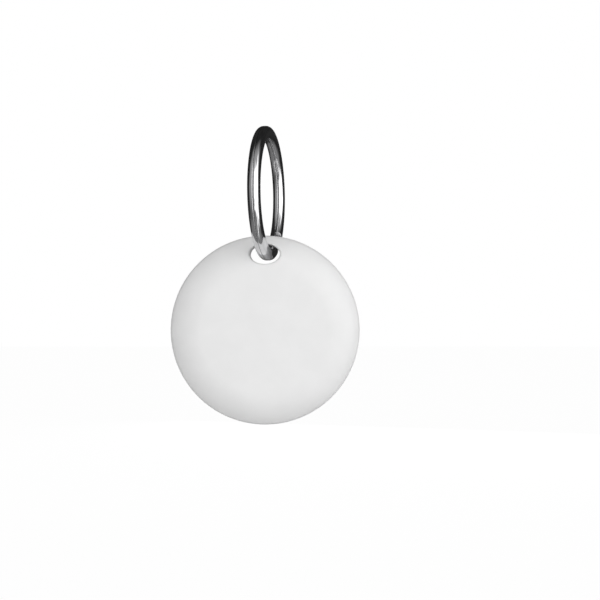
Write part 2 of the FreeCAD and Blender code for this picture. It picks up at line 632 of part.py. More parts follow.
def make_switch_dome():
    """Steel snap dome that lies on the floor of the tray."""
    foot_y = BOARD_FRONT_Y - SWITCH_FLOOR
    rise = DOME_RISE - DOME_THICKNESS
    radius = (DOME_RADIUS ** 2 + rise ** 2) / (2 * rise)
    ball = Part.makeSphere(radius + DOME_THICKNESS, V(0, foot_y - rise + radius, 0))
    core = Part.makeSphere(radius, V(0, foot_y - rise + radius, 0))
    return ball.cut(core).common(cylinder(DOME_RADIUS, foot_y - DOME_RISE * 2, foot_y))


def make_switch_plunger():
    """Flanged stem that the face presses, held under the steel cover."""
    front = switch_plunger_front()
    flange_front = switch_front_y() + PLUNGER_CLEARANCE / 2
    flange_rear = BOARD_FRONT_Y - SWITCH_FLOOR - DOME_RISE - PLUNGER_TRAVEL - PLUNGER_CLEARANCE / 2
    stem = cylinder(PLUNGER_DIAMETER / 2, front, flange_rear)
    front_edge = [e for e in stem.Edges if e.BoundBox.YMax < flange_front]
    stem = stem.makeChamfer(PLUNGER_STANDOUT / 3, front_edge)
    flange = cylinder(PLUNGER_DIAMETER / 2 + SWITCH_WALL / 2, flange_front, flange_rear)
    return stem.fuse(flange).removeSplitter()


def make_switch_cover():
    """Thin steel frame over the tray, with a hole for the plunger."""
    front = switch_front_y()
    cover = block(SWITCH_WIDTH, SWITCH_HEIGHT, front - SWITCH_COVER_THICKNESS, front)
    return cover.cut(cylinder(PLUNGER_DIAMETER / 2 + PLUNGER_CLEARANCE, front - OVERCUT, front + OVERCUT))


# ---------------------------------------------------------------- sounder
def sounder_seat_y():
    return FRONT_INNER_Y + SOUNDER_SEAT_HEIGHT


def plate_front_y():
    return sounder_seat_y() + SOUNDER_ADHESIVE_THICKNESS


def make_sounder_adhesive():
    outer = SOUNDER_PLATE_DIAMETER / 2
    return ring(outer, outer - SOUNDER_SEAT_WIDTH, sounder_seat_y(), plate_front_y(), 0, SOUNDER_Z)


def make_sounder_plate():
    front = plate_front_y()
    return cylinder(SOUNDER_PLATE_DIAMETER / 2, front, front + SOUNDER_PLATE_THICKNESS, 0, SOUNDER_Z)


def make_sounder_ceramic():
    front = plate_front_y() + SOUNDER_PLATE_THICKNESS
    return cylinder(SOUNDER_CERAMIC_DIAMETER / 2, front, front + SOUNDER_CERAMIC_THICKNESS, 0, SOUNDER_Z)


def make_sounder_contacts():
    """Two small bent springs on the board: one bears on the ceramic, one on the brass."""
    plate_rear = plate_front_y() + SOUNDER_PLATE_THICKNESS
    ceramic_rear = plate_rear + SOUNDER_CERAMIC_THICKNESS
    brass_x = (SOUNDER_PLATE_DIAMETER + SOUNDER_CERAMIC_DIAMETER) / 4
    strip = SPRING_THICKNESS
    edge_z = SOUNDER_Z - SOUNDER_SPRING_LENGTH / 2

    def spring(x, tip_y):
        edge_x = x - SOUNDER_SPRING_WIDTH / 2
        board_y = BOARD_FRONT_Y - strip
        foot = Part.makeBox(SOUNDER_SPRING_WIDTH, strip, SOUNDER_SPRING_LENGTH, V(edge_x, board_y, edge_z))
        post = Part.makeBox(SOUNDER_SPRING_WIDTH, BOARD_FRONT_Y - tip_y, strip, V(edge_x, tip_y, edge_z))
        tip = Part.makeBox(SOUNDER_SPRING_WIDTH, strip, SOUNDER_SPRING_TIP, V(edge_x, tip_y, edge_z))
        return foot.fuse([post, tip]).removeSplitter()

    return Part.makeCompound([spring(0, ceramic_rear), spring(brass_x, plate_rear)])


# ---------------------------------------------------------------- key ring
def wire_section(middle, low_round, high_round):
    """Section of one turn of wire: a bar whose corners follow a round of its own on each side.

    It lies in the XZ plane: X is the ring's axis and -Z points away from its middle.
    """
    low = middle - RING_WIRE_WIDTH / 2
    high = middle + RING_WIRE_WIDTH / 2
    outer = -RING_OUTER_RADIUS
    inner = outer + RING_WIRE_DEPTH
    corners = ((low, outer, low_round, 180, OUTER_ROUND_COUNT),
               (high, outer, high_round, 270, OUTER_ROUND_COUNT),
               (high, inner, high_round, 0, INNER_ROUND_COUNT),
               (low, inner, low_round, 90, INNER_ROUND_COUNT))
    points = []
    for x, z, radius, start, flats in corners:
        centre_x = x + radius if x < middle else x - radius
        centre_z = z + radius if z < inner else z - radius
        for step in range(flats + 1):
            turn = math.radians(start + 90 * step / flats)
            points.append(V(centre_x + radius * math.cos(turn), 0, centre_z + radius * math.sin(turn)))
    return Part.makePolygon(points + points[:1])


def make_key_ring():
    """Split ring: two turns of one wire, joined by a crossing, turned square then yawed."""
    offset = (RING_WIRE_WIDTH + RING_TURN_GAP) / 2
    axis = V(1, 0, 0)
    centre = V(0, 0, 0)

    def turn(side):
        rounds = (RING_INNER_ROUND, RING_OUTER_ROUND) if side > 0 else (RING_OUTER_ROUND, RING_INNER_ROUND)
        section = wire_section(side * offset, *rounds)
        section.rotate(centre, axis, RING_CROSSING_START + RING_CROSSING_LENGTH)
        return Part.Face(section).revolve(centre, axis, 360 - RING_CROSSING_LENGTH)

    sections = []
    steps = 6
    for step in range(steps + 1):
        share = step / steps
        ease = share * share * (3 - 2 * share)
        low = RING_INNER_ROUND + (RING_OUTER_ROUND - RING_INNER_ROUND) * ease
        high = RING_OUTER_ROUND + (RING_INNER_ROUND - RING_OUTER_ROUND) * ease
        section = wire_section(offset * (1 - 2 * ease), low, high)
        section.rotate(centre, axis, RING_CROSSING_START + RING_CROSSING_LENGTH * share)
        sections.append(section)
    crossing = Part.makeLoft(sections, True, False)
    coil = turn(1).fuse([turn(-1), crossing])
    coil.rotate(centre, V(0, 0, 1), -RING_YAW)
    coil.translate(RING_MIDDLE)
    return coil


NODES = {
    "key_ring": make_key_ring,
    "front_shell": make_front_shell,
    "rear_shell": make_rear_shell,
    "battery_door": make_battery_door,
    "door_seal": make_door_seal,
    "circuit_board": make_circuit_board,
    "battery_cradle": make_battery_cradle,
    "bluetooth_chip": make_bluetooth_chip,
    "main_crystal": make_main_crystal,
    "watch_crystal": make_watch_crystal,
    "chip_antenna": make_chip_antenna,
    "drive_inductor": make_drive_inductor,
    "chip_capacitors": make_chip_capacitors,
    "chip_resistors": make_chip_resistors,
    "positive_contact": make_positive_contact,
    "negative_contact": make_negative_contact,
    "cell_can": make_cell_can,
    "cell_cap": make_cell_cap,
    "cell_gasket": make_cell_gasket,
    "cell_cathode": make_cell_cathode,
    "cell_anode": make_cell_anode,
    "switch_base": make_switch_base,
    "switch_dome": make_switch_dome,
    "switch_plunger": make_switch_plunger,
    "switch_cover": make_switch_cover,
    "sounder_adhesive": make_sounder_adhesive,
    "sounder_plate": make_sounder_plate,
    "sounder_ceramic": make_sounder_ceramic,
    "sounder_contacts": make_sounder_contacts,
}

os.makedirs("parts", exist_ok=True)
for name, make in NODES.items():
    shape = make()
    shape.translate(RING_MIDDLE * -1)
    shape.exportStep("parts/" + name + ".step")
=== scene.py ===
import json
import math

import bpy
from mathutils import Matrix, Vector


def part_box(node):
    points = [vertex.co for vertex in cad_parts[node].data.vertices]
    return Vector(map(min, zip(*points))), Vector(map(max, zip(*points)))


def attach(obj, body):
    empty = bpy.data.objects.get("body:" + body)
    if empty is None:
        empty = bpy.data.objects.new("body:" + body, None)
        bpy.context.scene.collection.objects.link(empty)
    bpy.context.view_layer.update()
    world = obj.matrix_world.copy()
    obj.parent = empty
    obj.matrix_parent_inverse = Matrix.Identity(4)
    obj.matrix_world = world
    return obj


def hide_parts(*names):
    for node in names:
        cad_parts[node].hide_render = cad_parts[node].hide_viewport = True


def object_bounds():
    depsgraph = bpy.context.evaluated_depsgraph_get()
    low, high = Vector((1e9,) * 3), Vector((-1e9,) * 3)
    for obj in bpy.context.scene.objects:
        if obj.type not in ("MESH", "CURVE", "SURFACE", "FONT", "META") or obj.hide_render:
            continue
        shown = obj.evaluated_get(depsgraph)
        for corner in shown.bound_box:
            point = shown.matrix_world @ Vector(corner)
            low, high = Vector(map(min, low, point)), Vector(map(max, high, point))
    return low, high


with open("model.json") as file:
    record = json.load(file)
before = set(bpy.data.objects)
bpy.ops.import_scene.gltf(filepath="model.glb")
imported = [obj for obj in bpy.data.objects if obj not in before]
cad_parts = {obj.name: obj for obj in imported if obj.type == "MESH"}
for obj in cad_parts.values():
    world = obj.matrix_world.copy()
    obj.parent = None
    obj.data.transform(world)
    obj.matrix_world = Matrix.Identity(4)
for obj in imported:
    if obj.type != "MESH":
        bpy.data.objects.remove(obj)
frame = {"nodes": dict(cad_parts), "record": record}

bl_info = {
    "name": "Tracker tag on a key ring",
    "version": (1, 0, 0),
    "blender": (4, 5, 0),
    "location": "3D View > Sidebar > Tracker Tag",
    "description": "Models the shells, key ring, cell and board of a round tracker tag and gives them finishes",
    "category": "Object",
}

# ---- places read from the frame
def round_place(low, high):
    """Middle, in x and z, and radius of the round part that a box holds."""
    return (low.x + high.x) / 2, (low.z + high.z) / 2, (high.x - low.x) / 2


CAD_LOW, CAD_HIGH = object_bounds()
FRONT_LOW, FRONT_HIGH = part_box("front_shell")
DOOR_LOW, DOOR_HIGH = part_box("battery_door")
SEAL_LOW, SEAL_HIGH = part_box("door_seal")
RING_LOW, RING_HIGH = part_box("key_ring")
PLATE_LOW, PLATE_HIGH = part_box("sounder_plate")
CAN_LOW, CAN_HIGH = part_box("cell_can")
COIL_LOW, COIL_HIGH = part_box("drive_inductor")
BACK_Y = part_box("rear_shell")[1].y
BOARD_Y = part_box("circuit_board")[0].y
CRADLE_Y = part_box("battery_cradle")[0].y
GLUE_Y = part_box("sounder_adhesive")[0].y
PLUNGER_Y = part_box("switch_plunger")[0].y
MOUNTS = {mount["name"]: mount for mount in frame["record"]["mounts"]}
EYELET = Vector(MOUNTS["eyelet"]["pos_m"])
RING_AXIS = Vector(MOUNTS["key_ring"]["axis"])
RING_YAW = math.atan2(-RING_AXIS.y, RING_AXIS.x)
TAG_X, TAG_Z, TAG_RADIUS = round_place(FRONT_LOW, FRONT_HIGH)
PLATE_X, PLATE_Z, PLATE_RADIUS = round_place(PLATE_LOW, PLATE_HIGH)
CELL_X, CELL_Z, CELL_RADIUS = round_place(CAN_LOW, CAN_HIGH)
COIL_X, COIL_Z, COIL_RADIUS = round_place(COIL_LOW, COIL_HIGH)
FACE_Y = FRONT_LOW.y
FRONT_SEAM_Y = FRONT_HIGH.y
_, DOOR_Z, DOOR_RADIUS = round_place(DOOR_LOW, DOOR_HIGH)
RING_RADIUS = (RING_HIGH.z - RING_LOW.z) / 2

ALONG_Y = (math.pi / 2, 0, 0)  # turn that lays an axis from Z along Y
ROUND_STEPS = 224
OVERCUT = 0.001                # how far a cutting tool runs past the face it opens
JOINT_PLAY = 0.00005           # clearance at the tongue between the shells
ON_PLANE = 0.00002             # how near to a plane a vertex has to be to count as on it


# ---- sizes and colours a user would change
def length(name, description, default, least=0.0):
    """Length that a user may change."""
    return bpy.props.FloatProperty(name=name, description=description, default=default, min=least,
                                   subtype="DISTANCE")


def colour(name, description, default):
    """Colour that a user may change."""
    return bpy.props.FloatVectorProperty(name=name, description=description, default=default, size=3,
                                         min=0.0, max=1.0, subtype="COLOR")


class TagSizes(bpy.types.PropertyGroup):
    flat_radius: length("Flat radius", "Radius out to which face and back are nearly flat", 0.0125, 0.001)
    rim_radius: length("Rim rounding", "Rounding of the widest edge, each side of the seam", 0.0019, 0.0001)
    crown: length("Crown", "How far the face has fallen away at the edge of its flat part", 0.00014)
    wall: length("Wall", "Thickness of the face and of the back", 0.0008, 0.0002)
    seam_gap: length("Seam gap", "Open seam between the two shells", 0.00008)
    seam_bevel: length("Seam bevel", "Softened edge on each side of the seam", 0.00007)
    eyelet_width: length("Eyelet width", "Width of the oval hole", 0.006, 0.001)
    eyelet_height: length("Eyelet height", "Height of the oval hole", 0.004, 0.001)
    lip_radius: length("Lip rounding", "Rounding of the eyelet's outer lips", 0.0005)
    lip_margin: length("Lip margin", "Width of the band from which the lip is rolled", 0.00082, 0.0001)
    eyelet_wall: length("Eyelet wall", "Wall of the round boss through which the eyelet passes", 0.0009, 0.0001)
    tongue: length("Tongue", "Thickness of the tongue on which the shells meet", 0.0008, 0.0001)
    tongue_depth: length("Tongue depth", "How far the tongue reaches into the front shell", 0.0009, 0.0001)
    rim_wall: length("Rim wall", "From the rim to the mouth of the front shell", 0.002, 0.0001)
    post_circle: length("Post circle", "Radius of the circle on which the board posts stand", 0.014, 0.001)
    post_radius: length("Post radius", "Radius of a board post", 0.0014, 0.0001)
    pin_radius: length("Pin radius", "Radius of the pin on a board post", 0.0007, 0.0001)
    pusher_radius: length("Pusher radius", "Radius of the boss that works the switch", 0.0015, 0.0001)
    seat_width: length("Seat width", "Width of the ring that carries the sounder", 0.0008, 0.0001)
    door_gap: length("Door gap", "Gap round the battery door", 0.0001)
    door_bevel: length("Door bevel", "Rounding of the battery door's outer edge", 0.00018)
    spigot_inset: length("Spigot inset", "From the door's rim to the side of its spigot", 0.0007, 0.0001)
    spigot_wall: length("Spigot wall", "Wall of the door's spigot", 0.0005, 0.0001)
    ledge_inset: length("Ledge inset", "From the door's rim to the opening inside its ledge", 0.0006, 0.0001)
    ledge_thickness: length("Ledge thickness", "Thickness of the ledge under the door", 0.00075, 0.0001)
    collar_wall: length("Collar wall", "Wall round the recess for the door", 0.001, 0.0001)
    notch_width: length("Notch width", "Width of the notch for prying the door out", 0.005, 0.001)
    notch_reach: length("Notch reach", "How far the notch reaches out and how deep it is", 0.0011, 0.0001)


class RingSizes(bpy.types.PropertyGroup):
    wire_depth: length("Wire depth", "Size of the wire towards the ring's middle", 0.0026, 0.0005)
    wire_width: length("Wire width", "Size of one turn of wire along the ring's axis", 0.00118, 0.0003)
    turn_gap: length("Turn gap", "Gap between the two turns", 0.00004)
    outer_round: length("Outer rounding", "Rounding of the wire on the ring's two faces", 0.00098, 0.0001)
    inner_round: length("Inner rounding", "Rounding of the wire where the turns meet", 0.00008, 0.00002)
    crossing_start: bpy.props.FloatProperty(
        name="Crossing start", description="Angle from the bottom, towards the back, where the wire crosses",
        default=math.radians(22), subtype="ANGLE")
    crossing_length: bpy.props.FloatProperty(
        name="Crossing length", description="Angle through which the wire crosses",
        default=math.radians(26), subtype="ANGLE")
    crossing_steps: bpy.props.IntProperty(
        name="Crossing steps", description="Sections of wire through the crossing", default=14, min=4)
    turn_steps: bpy.props.IntProperty(
        name="Turn steps", description="Sections of wire through each turn", default=220, min=24)


class TagColours(bpy.types.PropertyGroup):
    shell: colour("Shell", "Moulded white of the shells and the door", (0.83, 0.83, 0.83))
    chrome: colour("Chrome", "Plating of the key ring", (0.70, 0.70, 0.71))
    board: colour("Board", "Solder mask of the circuit board", (0.012, 0.075, 0.04))
    cradle: colour("Cradle", "Moulded cell cradle", (0.045, 0.045, 0.05))
    seal: colour("Seal", "Silicone seal under the door", (0.10, 0.10, 0.11))


class StageSizes(bpy.types.PropertyGroup):
    camera_aside: length("Camera aside", "Camera's place to the right of the tag's middle", 0.007, -1.0)
    camera_distance: length("Camera distance", "Camera's distance in front of the tag's middle", 0.185, 0.02)
    camera_rise: length("Camera rise", "Camera's height above the tag's middle", 0.00605, -1.0)
    lens: bpy.props.FloatProperty(
        name="Lens", description="Focal length in millimetres on a 36 mm sensor", default=55.26, min=10.0)
    floor_drop: length("Floor drop", "How far below the hanging tag the floor lies", 0.06)


SIZES = (("tag_sizes", TagSizes), ("ring_sizes", RingSizes), ("tag_colours", TagColours),
         ("stage_sizes", StageSizes))


# ---- hand tools
def put_down():
    """Leave edit mode and select nothing."""
    if bpy.context.object and bpy.context.object.mode != "OBJECT":
        bpy.ops.object.mode_set(mode="OBJECT")
    bpy.ops.object.select_all(action="DESELECT")


def take(obj, *others):
    """Select these objects, the first of them active."""
    put_down()
    for each in (obj,) + others:
        each.select_set(True)
    bpy.context.view_layer.objects.active = obj


def apply_place(obj, **place):
    """Set the object's place, turn or scale, and put it into its mesh."""
    for name, value in place.items():
        setattr(obj, name, value)
    take(obj)
    bpy.ops.object.transform_apply(location=True, rotation=True, scale=True)


def made(primitive, **settings):
    """Add a primitive, a lamp or a camera with nothing else selected."""
    put_down()
    primitive(**settings)
    return bpy.context.object


def edit(obj, mode="VERT"):
    """Enter edit mode with that kind of element picked."""
    take(obj)
    bpy.ops.object.mode_set(mode="EDIT")
    bpy.ops.mesh.select_mode(type=mode)


def edit_all(obj, mode="VERT"):
    """Enter edit mode with everything selected."""
    edit(obj, mode)
    bpy.ops.mesh.select_all(action="SELECT")


def clear_picks(mesh):
    """Deselect every face, edge and vertex."""
    put_down()
    for elements in (mesh.polygons, mesh.edges, mesh.vertices):
        for element in elements:
            element.select = False


def pick_vertices(obj, wanted):
    """Enter edit mode with the vertices selected whose place passes the test."""
    clear_picks(obj.data)
    for vertex in obj.data.vertices:
        vertex.select = bool(wanted(vertex.co))
    edit(obj)


def pick_edges(obj, wanted):
    """Enter edit mode with the edges selected whose two ends pass the test."""
    clear_picks(obj.data)
    for edge in obj.data.edges:
        edge.select = bool(wanted(*(obj.data.vertices[i].co for i in edge.vertices)))
    edit(obj, "EDGE")


def keep_boundary(obj):
    """Of the selected edges, keep those with only one face."""
    put_down()
    count = {}
    for face in obj.data.polygons:
        for key in face.edge_keys:
            count[key] = count.get(key, 0) + 1
    for edge in obj.data.edges:
        if edge.select and count.get(edge.key, 0) != 1:
            edge.select = False
    chosen = {i for edge in obj.data.edges if edge.select for i in edge.vertices}
    for vertex in obj.data.vertices:
        vertex.select = vertex.index in chosen
    edit(obj, "EDGE")


def round_edges(offset, segments):
    """Bevel the picked edges and leave edit mode."""
    bpy.ops.mesh.bevel(offset=offset, segments=segments, profile=0.5, affect="EDGES")
    put_down()


def outwards(obj, threshold=0.0000002):
    """Merge doubles and turn every face outwards."""
    edit_all(obj)
    bpy.ops.mesh.remove_doubles(threshold=threshold)
    bpy.ops.mesh.normals_make_consistent(inside=False)
    put_down()


def modify(obj, kind, **settings):
    """Add a modifier, set it and apply it."""
    take(obj)
    modifier = obj.modifiers.new(kind.title(), kind)
    for name, value in settings.items():
        setattr(modifier, name, value)
    bpy.ops.object.modifier_apply(modifier=modifier.name)


def carve(obj, tool, operation="DIFFERENCE"):
    """Cut, or join with, another solid, which is used up."""
    modify(obj, "BOOLEAN", operation=operation, object=tool, solver="EXACT")
    bpy.data.objects.remove(tool)


def join(obj, *others):
    """Make one object of several, without merging them."""
    if others:
        take(obj, *others)
        bpy.ops.object.join()
    put_down()
    return obj


def named(obj, name):
    """Name the object and its mesh."""
    obj.name = name
    obj.data.name = name
    return obj


def draw_out(distance, scale, centre):
    """Extrude what is picked along Y, then scale it about a point."""
    bpy.ops.mesh.extrude_region_move(TRANSFORM_OT_translate={"value": (0, distance, 0)})
    bpy.ops.transform.resize(value=scale, center_override=centre)


def turned(rings, x, z, steps=ROUND_STEPS):
    """Solid drawn out from a small disc, ring by ring, about a line along Y. Each ring is (radius, y)."""
    radius, y = rings[0]
    obj = made(bpy.ops.mesh.primitive_circle_add, vertices=steps, radius=radius, fill_type="TRIFAN",
               location=(x, y, z), rotation=ALONG_Y)
    apply_place(obj)
    edit_all(obj)
    bpy.ops.mesh.region_to_loop()
    for next_radius, next_y in rings[1:]:
        scale = next_radius / radius
        draw_out(next_y - y, (scale, 1, scale), (x, next_y, z))
        radius, y = next_radius, next_y
    bpy.ops.mesh.edge_face_add()
    outwards(obj)
    return obj


def quarter_round(radius, middle_y, bevel, first=0):
    """Six rings of a rounded edge, whose centre lies at that height, from an angle of first degrees."""
    angles = [math.radians(first + 90 * step / 5) for step in range(6)]
    return [(radius - bevel + bevel * math.sin(angle), middle_y + bevel * math.cos(angle)) for angle in angles]


def bar(radius, y0, y1, x, z, steps=96, radius_z=None):
    """Round or oval bar along Y, used as a cutting tool or as the start of a piece."""
    obj = made(bpy.ops.mesh.primitive_cylinder_add, vertices=steps, radius=1.0, depth=1.0,
               location=(x, (y0 + y1) / 2, z), rotation=ALONG_Y)
    apply_place(obj, scale=(radius, radius_z or radius, y1 - y0))
    outwards(obj)
    return obj


def box(low, high, bevel=0.0):
    """Block between two corners, its edges rounded."""
    low, high = Vector(low), Vector(high)
    obj = made(bpy.ops.mesh.primitive_cube_add, size=1.0, location=(low + high) / 2)
    apply_place(obj, scale=high - low)
    if bevel > 0:
        edit_all(obj, "EDGE")
        round_edges(bevel, 2)
    return obj


def torus(major, minor, middle, steps, wire_steps):
    """Ring of round wire about a line along Y, not yet applied."""
    return made(bpy.ops.mesh.primitive_torus_add, major_segments=steps, minor_segments=wire_steps,
                major_radius=major, minor_radius=minor, location=middle, rotation=ALONG_Y)


def solid_copy(node):
    """Merged copy of a CAD node's mesh, its flat faces made whole again."""
    original = frame["nodes"][node]
    twin = original.copy()
    twin.data = original.data.copy()
    bpy.context.scene.collection.objects.link(twin)
    twin.parent = None
    for key in list(twin.keys()):
        del twin[key]
    named(twin, "loose")
    edit_all(twin)
    bpy.ops.mesh.remove_doubles(threshold=0.000001)
    bpy.ops.mesh.dissolve_limited(angle_limit=math.radians(0.6))
    put_down()
    return twin


def softened(node, bevel, segments=2):
    """Merged copy of a CAD node with rounded edges."""
    twin = solid_copy(node)
    modify(twin, "BEVEL", width=bevel, segments=segments, limit_method="ANGLE",
           angle_limit=math.radians(38), harden_normals=False, use_clamp_overlap=True)
    return twin


def loose_boxes(node):
    """Lowest and highest corner of each separate solid in a CAD node."""
    edit_all(solid_copy(node))
    bpy.ops.mesh.separate(type="LOOSE")
    put_down()
    parts = [o for o in bpy.context.scene.objects if o.type == "MESH" and o.name.startswith("loose")]
    found = []
    for part in parts:
        places = [v.co for v in part.data.vertices]
        found.append([Vector([pick(p[i] for p in places) for i in range(3)]) for pick in (min, max)])
        bpy.data.objects.remove(part)
    return sorted(found, key=lambda pair: tuple(round(c, 5) for c in pair[0]))


def finish_piece(obj, name, body, finish, *replaced, slot=None, smooth=32):
    """Name and smooth a finished piece, and give it its material, its body and the nodes it stands for."""
    take(named(obj, name))
    bpy.ops.object.shade_smooth_by_angle(angle=math.radians(smooth))
    obj.data.materials.clear()
    obj.data.materials.append(FINISHES[finish])
    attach(obj, body)
    if replaced:
        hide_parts(*replaced)
    put_down()


# ---- pebble form
def pebble(face_y, seam_y, sizes, wall=0.0):
    """Rings of one half of the pebble, from the middle of its face to its rim."""
    inward = 1 if seam_y > face_y else -1
    depth = abs(seam_y - face_y)
    rim_middle = TAG_RADIUS - sizes.rim_radius
    reach = rim_middle - sizes.flat_radius
    shoulder = (reach ** 2 + depth ** 2 - sizes.rim_radius ** 2) / (2 * (depth - sizes.rim_radius))
    turn_over = math.atan2(reach, shoulder - depth)

    def crown(radius):
        """The face's slight swell, which dies out before the rim."""
        edge = min(max((radius - 0.55 * TAG_RADIUS) / (0.45 * TAG_RADIUS), 0), 1)
        return sizes.crown * (radius / sizes.flat_radius) ** 2 * (1 - edge * edge * (3 - 2 * edge))

    def arc(middle, centre, radius, first, last, steps):
        """Rings along a curve whose centre lies at that radius and depth."""
        angles = [first + (last - first) * step / steps for step in range(1, steps + 1)]
        return [(middle + radius * math.sin(angle), centre - radius * math.cos(angle)) for angle in angles]

    flat_rings = 12
    points = [(sizes.flat_radius * step / flat_rings, wall) for step in range(1, flat_rings + 1)]
    points += arc(sizes.flat_radius, shoulder, shoulder - wall, 0, turn_over, 18)
    points += arc(rim_middle, depth, sizes.rim_radius - wall, turn_over, math.pi / 2, 14)
    return [(radius, face_y + inward * (below + crown(radius))) for radius, below in points]


def shell_body(face_y, seam_y, sizes):
    """Solid half of the pebble with a softened edge along the seam."""
    inward = 1 if seam_y > face_y else -1
    edge = sizes.seam_bevel
    rings = [ring for ring in pebble(face_y, seam_y, sizes) if abs(ring[1] - seam_y) > edge * 1.2]
    rings.append((TAG_RADIUS, seam_y - inward * edge))
    rings.append((TAG_RADIUS - edge * 0.3, seam_y - inward * edge * 0.3))
    rings.append((TAG_RADIUS - edge, seam_y))
    return turned(rings, TAG_X, TAG_Z)


def cavity(face_y, seam_y, sizes, radius, boss):
    """Cutting tool for the hollow of a shell, which leaves a round boss at the eyelet."""
    past = seam_y + math.copysign(1.5 * OVERCUT, seam_y - face_y)
    rings = [ring for ring in pebble(face_y, seam_y, sizes, sizes.wall) if ring[0] < radius][2::3]
    rings.append((radius, rings[-1][1] + (seam_y - face_y) * 0.08))
    rings.append((radius, past))
    tool = turned(rings, TAG_X, TAG_Z, 128)
    low, high = sorted((face_y, past + (seam_y - face_y)))
    carve(tool, bar(boss, low - OVERCUT, high + OVERCUT, EYELET.x, EYELET.z))
    return tool


def chamber(radius, boss, y0, y1):
    """Round plate with a round bite taken out of it at the eyelet."""
    plate = bar(radius, y0, y1, TAG_X, TAG_Z, 160)
    carve(plate, bar(boss, y0 - OVERCUT, y1 + OVERCUT, EYELET.x, EYELET.z))
    return plate


def open_eyelet(obj, face_y, seam_y, sizes):
    """Cut the oval hole, line it with a wall and roll its lip."""
    inward = 1 if seam_y > face_y else -1
    half_x, half_z = sizes.eyelet_width / 2, sizes.eyelet_height / 2
    margin = sizes.lip_margin
    start_margin = margin * 0.8
    steps = 112
    smooth_form = turned(pebble(face_y, seam_y, sizes), TAG_X, TAG_Z)

    def oval(place, grow):
        """1 on the eyelet's outline grown by that much, and less inside it."""
        return math.hypot((place.x - EYELET.x) / (half_x + grow), (place.z - EYELET.z) / (half_z + grow))

    def on_hole(*places):
        return all(oval(place, 0) < 1.001 for place in places)

    def on_loop(place, grow):
        return abs(oval(place, grow) - 1) < 0.004

    # A flat band round the hole is laid on the shell's outside, and its inner edge drawn in to the seam.
    start = face_y - inward * 2 * OVERCUT
    lining = made(bpy.ops.mesh.primitive_circle_add, vertices=steps, radius=1.0, fill_type="NOTHING",
                  location=(EYELET.x, start, EYELET.z), rotation=ALONG_Y)
    apply_place(lining, scale=(half_x + start_margin, half_z + start_margin, 1))
    edit_all(lining)
    draw_out(0, (half_x / (half_x + start_margin), 1, half_z / (half_z + start_margin)),
             (EYELET.x, start, EYELET.z))
    put_down()
    modify(lining, "SHRINKWRAP", wrap_method="PROJECT", use_project_y=True, use_positive_direction=inward > 0,
           use_negative_direction=inward < 0, target=smooth_form)
    bpy.data.objects.remove(smooth_form)
    pick_edges(lining, on_hole)
    draw_out(inward * OVERCUT, (1, 0, 1), (EYELET.x, seam_y, EYELET.z))
    put_down()
    pick_edges(lining, lambda a, b: on_hole(a, b) and min(abs(a.y - seam_y), abs(b.y - seam_y)) > ON_PLANE)
    bpy.ops.mesh.bevel(offset=sizes.lip_radius, segments=8, profile=0.5, affect="EDGES", offset_type="OFFSET")
    put_down()

    # The shell is opened a little wider, the cut's own wall taken away, and the lining sewn in.
    low, high = sorted((face_y - inward * 3 * OVERCUT, seam_y + inward * 3 * OVERCUT))
    carve(obj, bar(half_x + margin, low, high, EYELET.x, EYELET.z, steps, half_z + margin))
    pick_vertices(obj, lambda place: on_loop(place, margin))
    bpy.ops.mesh.select_mode(type="FACE")
    bpy.ops.mesh.delete(type="FACE")
    put_down()
    join(obj, lining)
    for at_seam in (False, True):
        grows = (margin, 0 if at_seam else start_margin)
        pick_edges(obj, lambda a, b: all((abs(p.y - seam_y) < ON_PLANE) == at_seam
                                         and any(on_loop(p, grow) for grow in grows) for p in (a, b)))
        keep_boundary(obj)
        bpy.ops.mesh.fill(use_beauty=False)
        put_down()
    outwards(obj)


# ---- shader arithmetic
class Reading:
    """Output of a shader node, so that sums between outputs are written as plain arithmetic."""

    def __init__(self, socket):
        self.socket = socket
        self.tree = socket.id_data

    def __add__(self, other):
        return calculate("ADD", self, other)

    def __sub__(self, other):
        return calculate("SUBTRACT", self, other)

    def __rsub__(self, other):
        return calculate("SUBTRACT", other, self)

    def __mul__(self, other):
        return calculate("MULTIPLY", self, other)

    def __truediv__(self, other):
        return calculate("DIVIDE", self, other)

    def __rtruediv__(self, other):
        return calculate("DIVIDE", other, self)


def feed(target, value):
    """Link a reading to an input, or set the input to a constant."""
    if isinstance(value, Reading):
        value.tree.links.new(value.socket, target)
    else:
        target.default_value = value


def add(tree, kind, sockets=None, **settings):
    """Add a shader node, set its options, then its inputs."""
    node = tree.nodes.new(kind)
    for name, value in settings.items():
        setattr(node, name, value)
    for name, value in (sockets or {}).items():
        feed(node.inputs[name], value)
    return node


def read(node, output=0):
    return Reading(node.outputs[output])


def fresh_tree(owner):
    """Empty node tree of a material or a world."""
    owner.use_nodes = True
    owner.node_tree.nodes.clear()
    return owner.node_tree


def calculate(operation, a, b=0.0):
    """Result of a maths node. One of the two, at least, is a reading."""
    tree = (a if isinstance(a, Reading) else b).tree
    return read(add(tree, "ShaderNodeMath", {0: a, 1: b}, operation=operation))


def ramp(value, start, end, low=0.0, high=1.0):
    """Smooth step from low to high as the value goes from start to end."""
    return read(add(value.tree, "ShaderNodeMapRange", {
        "Value": value, "From Min": start, "From Max": end, "To Min": low, "To Max": high},
        interpolation_type="SMOOTHSTEP"))


def mix(factor, a, b):
    return read(add(factor.tree, "ShaderNodeMix", {0: factor, 6: a, 7: b}, data_type="RGBA"), 2)


def noise(place, scale, detail=3.0, roughness=0.5):
    return read(add(place.tree, "ShaderNodeTexNoise", {
        "Vector": place, "Scale": scale, "Detail": detail, "Roughness": roughness}))


def mapping(place, location=(0, 0, 0), rotation=(0, 0, 0), scale=(1, 1, 1)):
    return read(add(place.tree, "ShaderNodeMapping", {
        "Vector": place, "Location": location, "Rotation": rotation, "Scale": scale}))


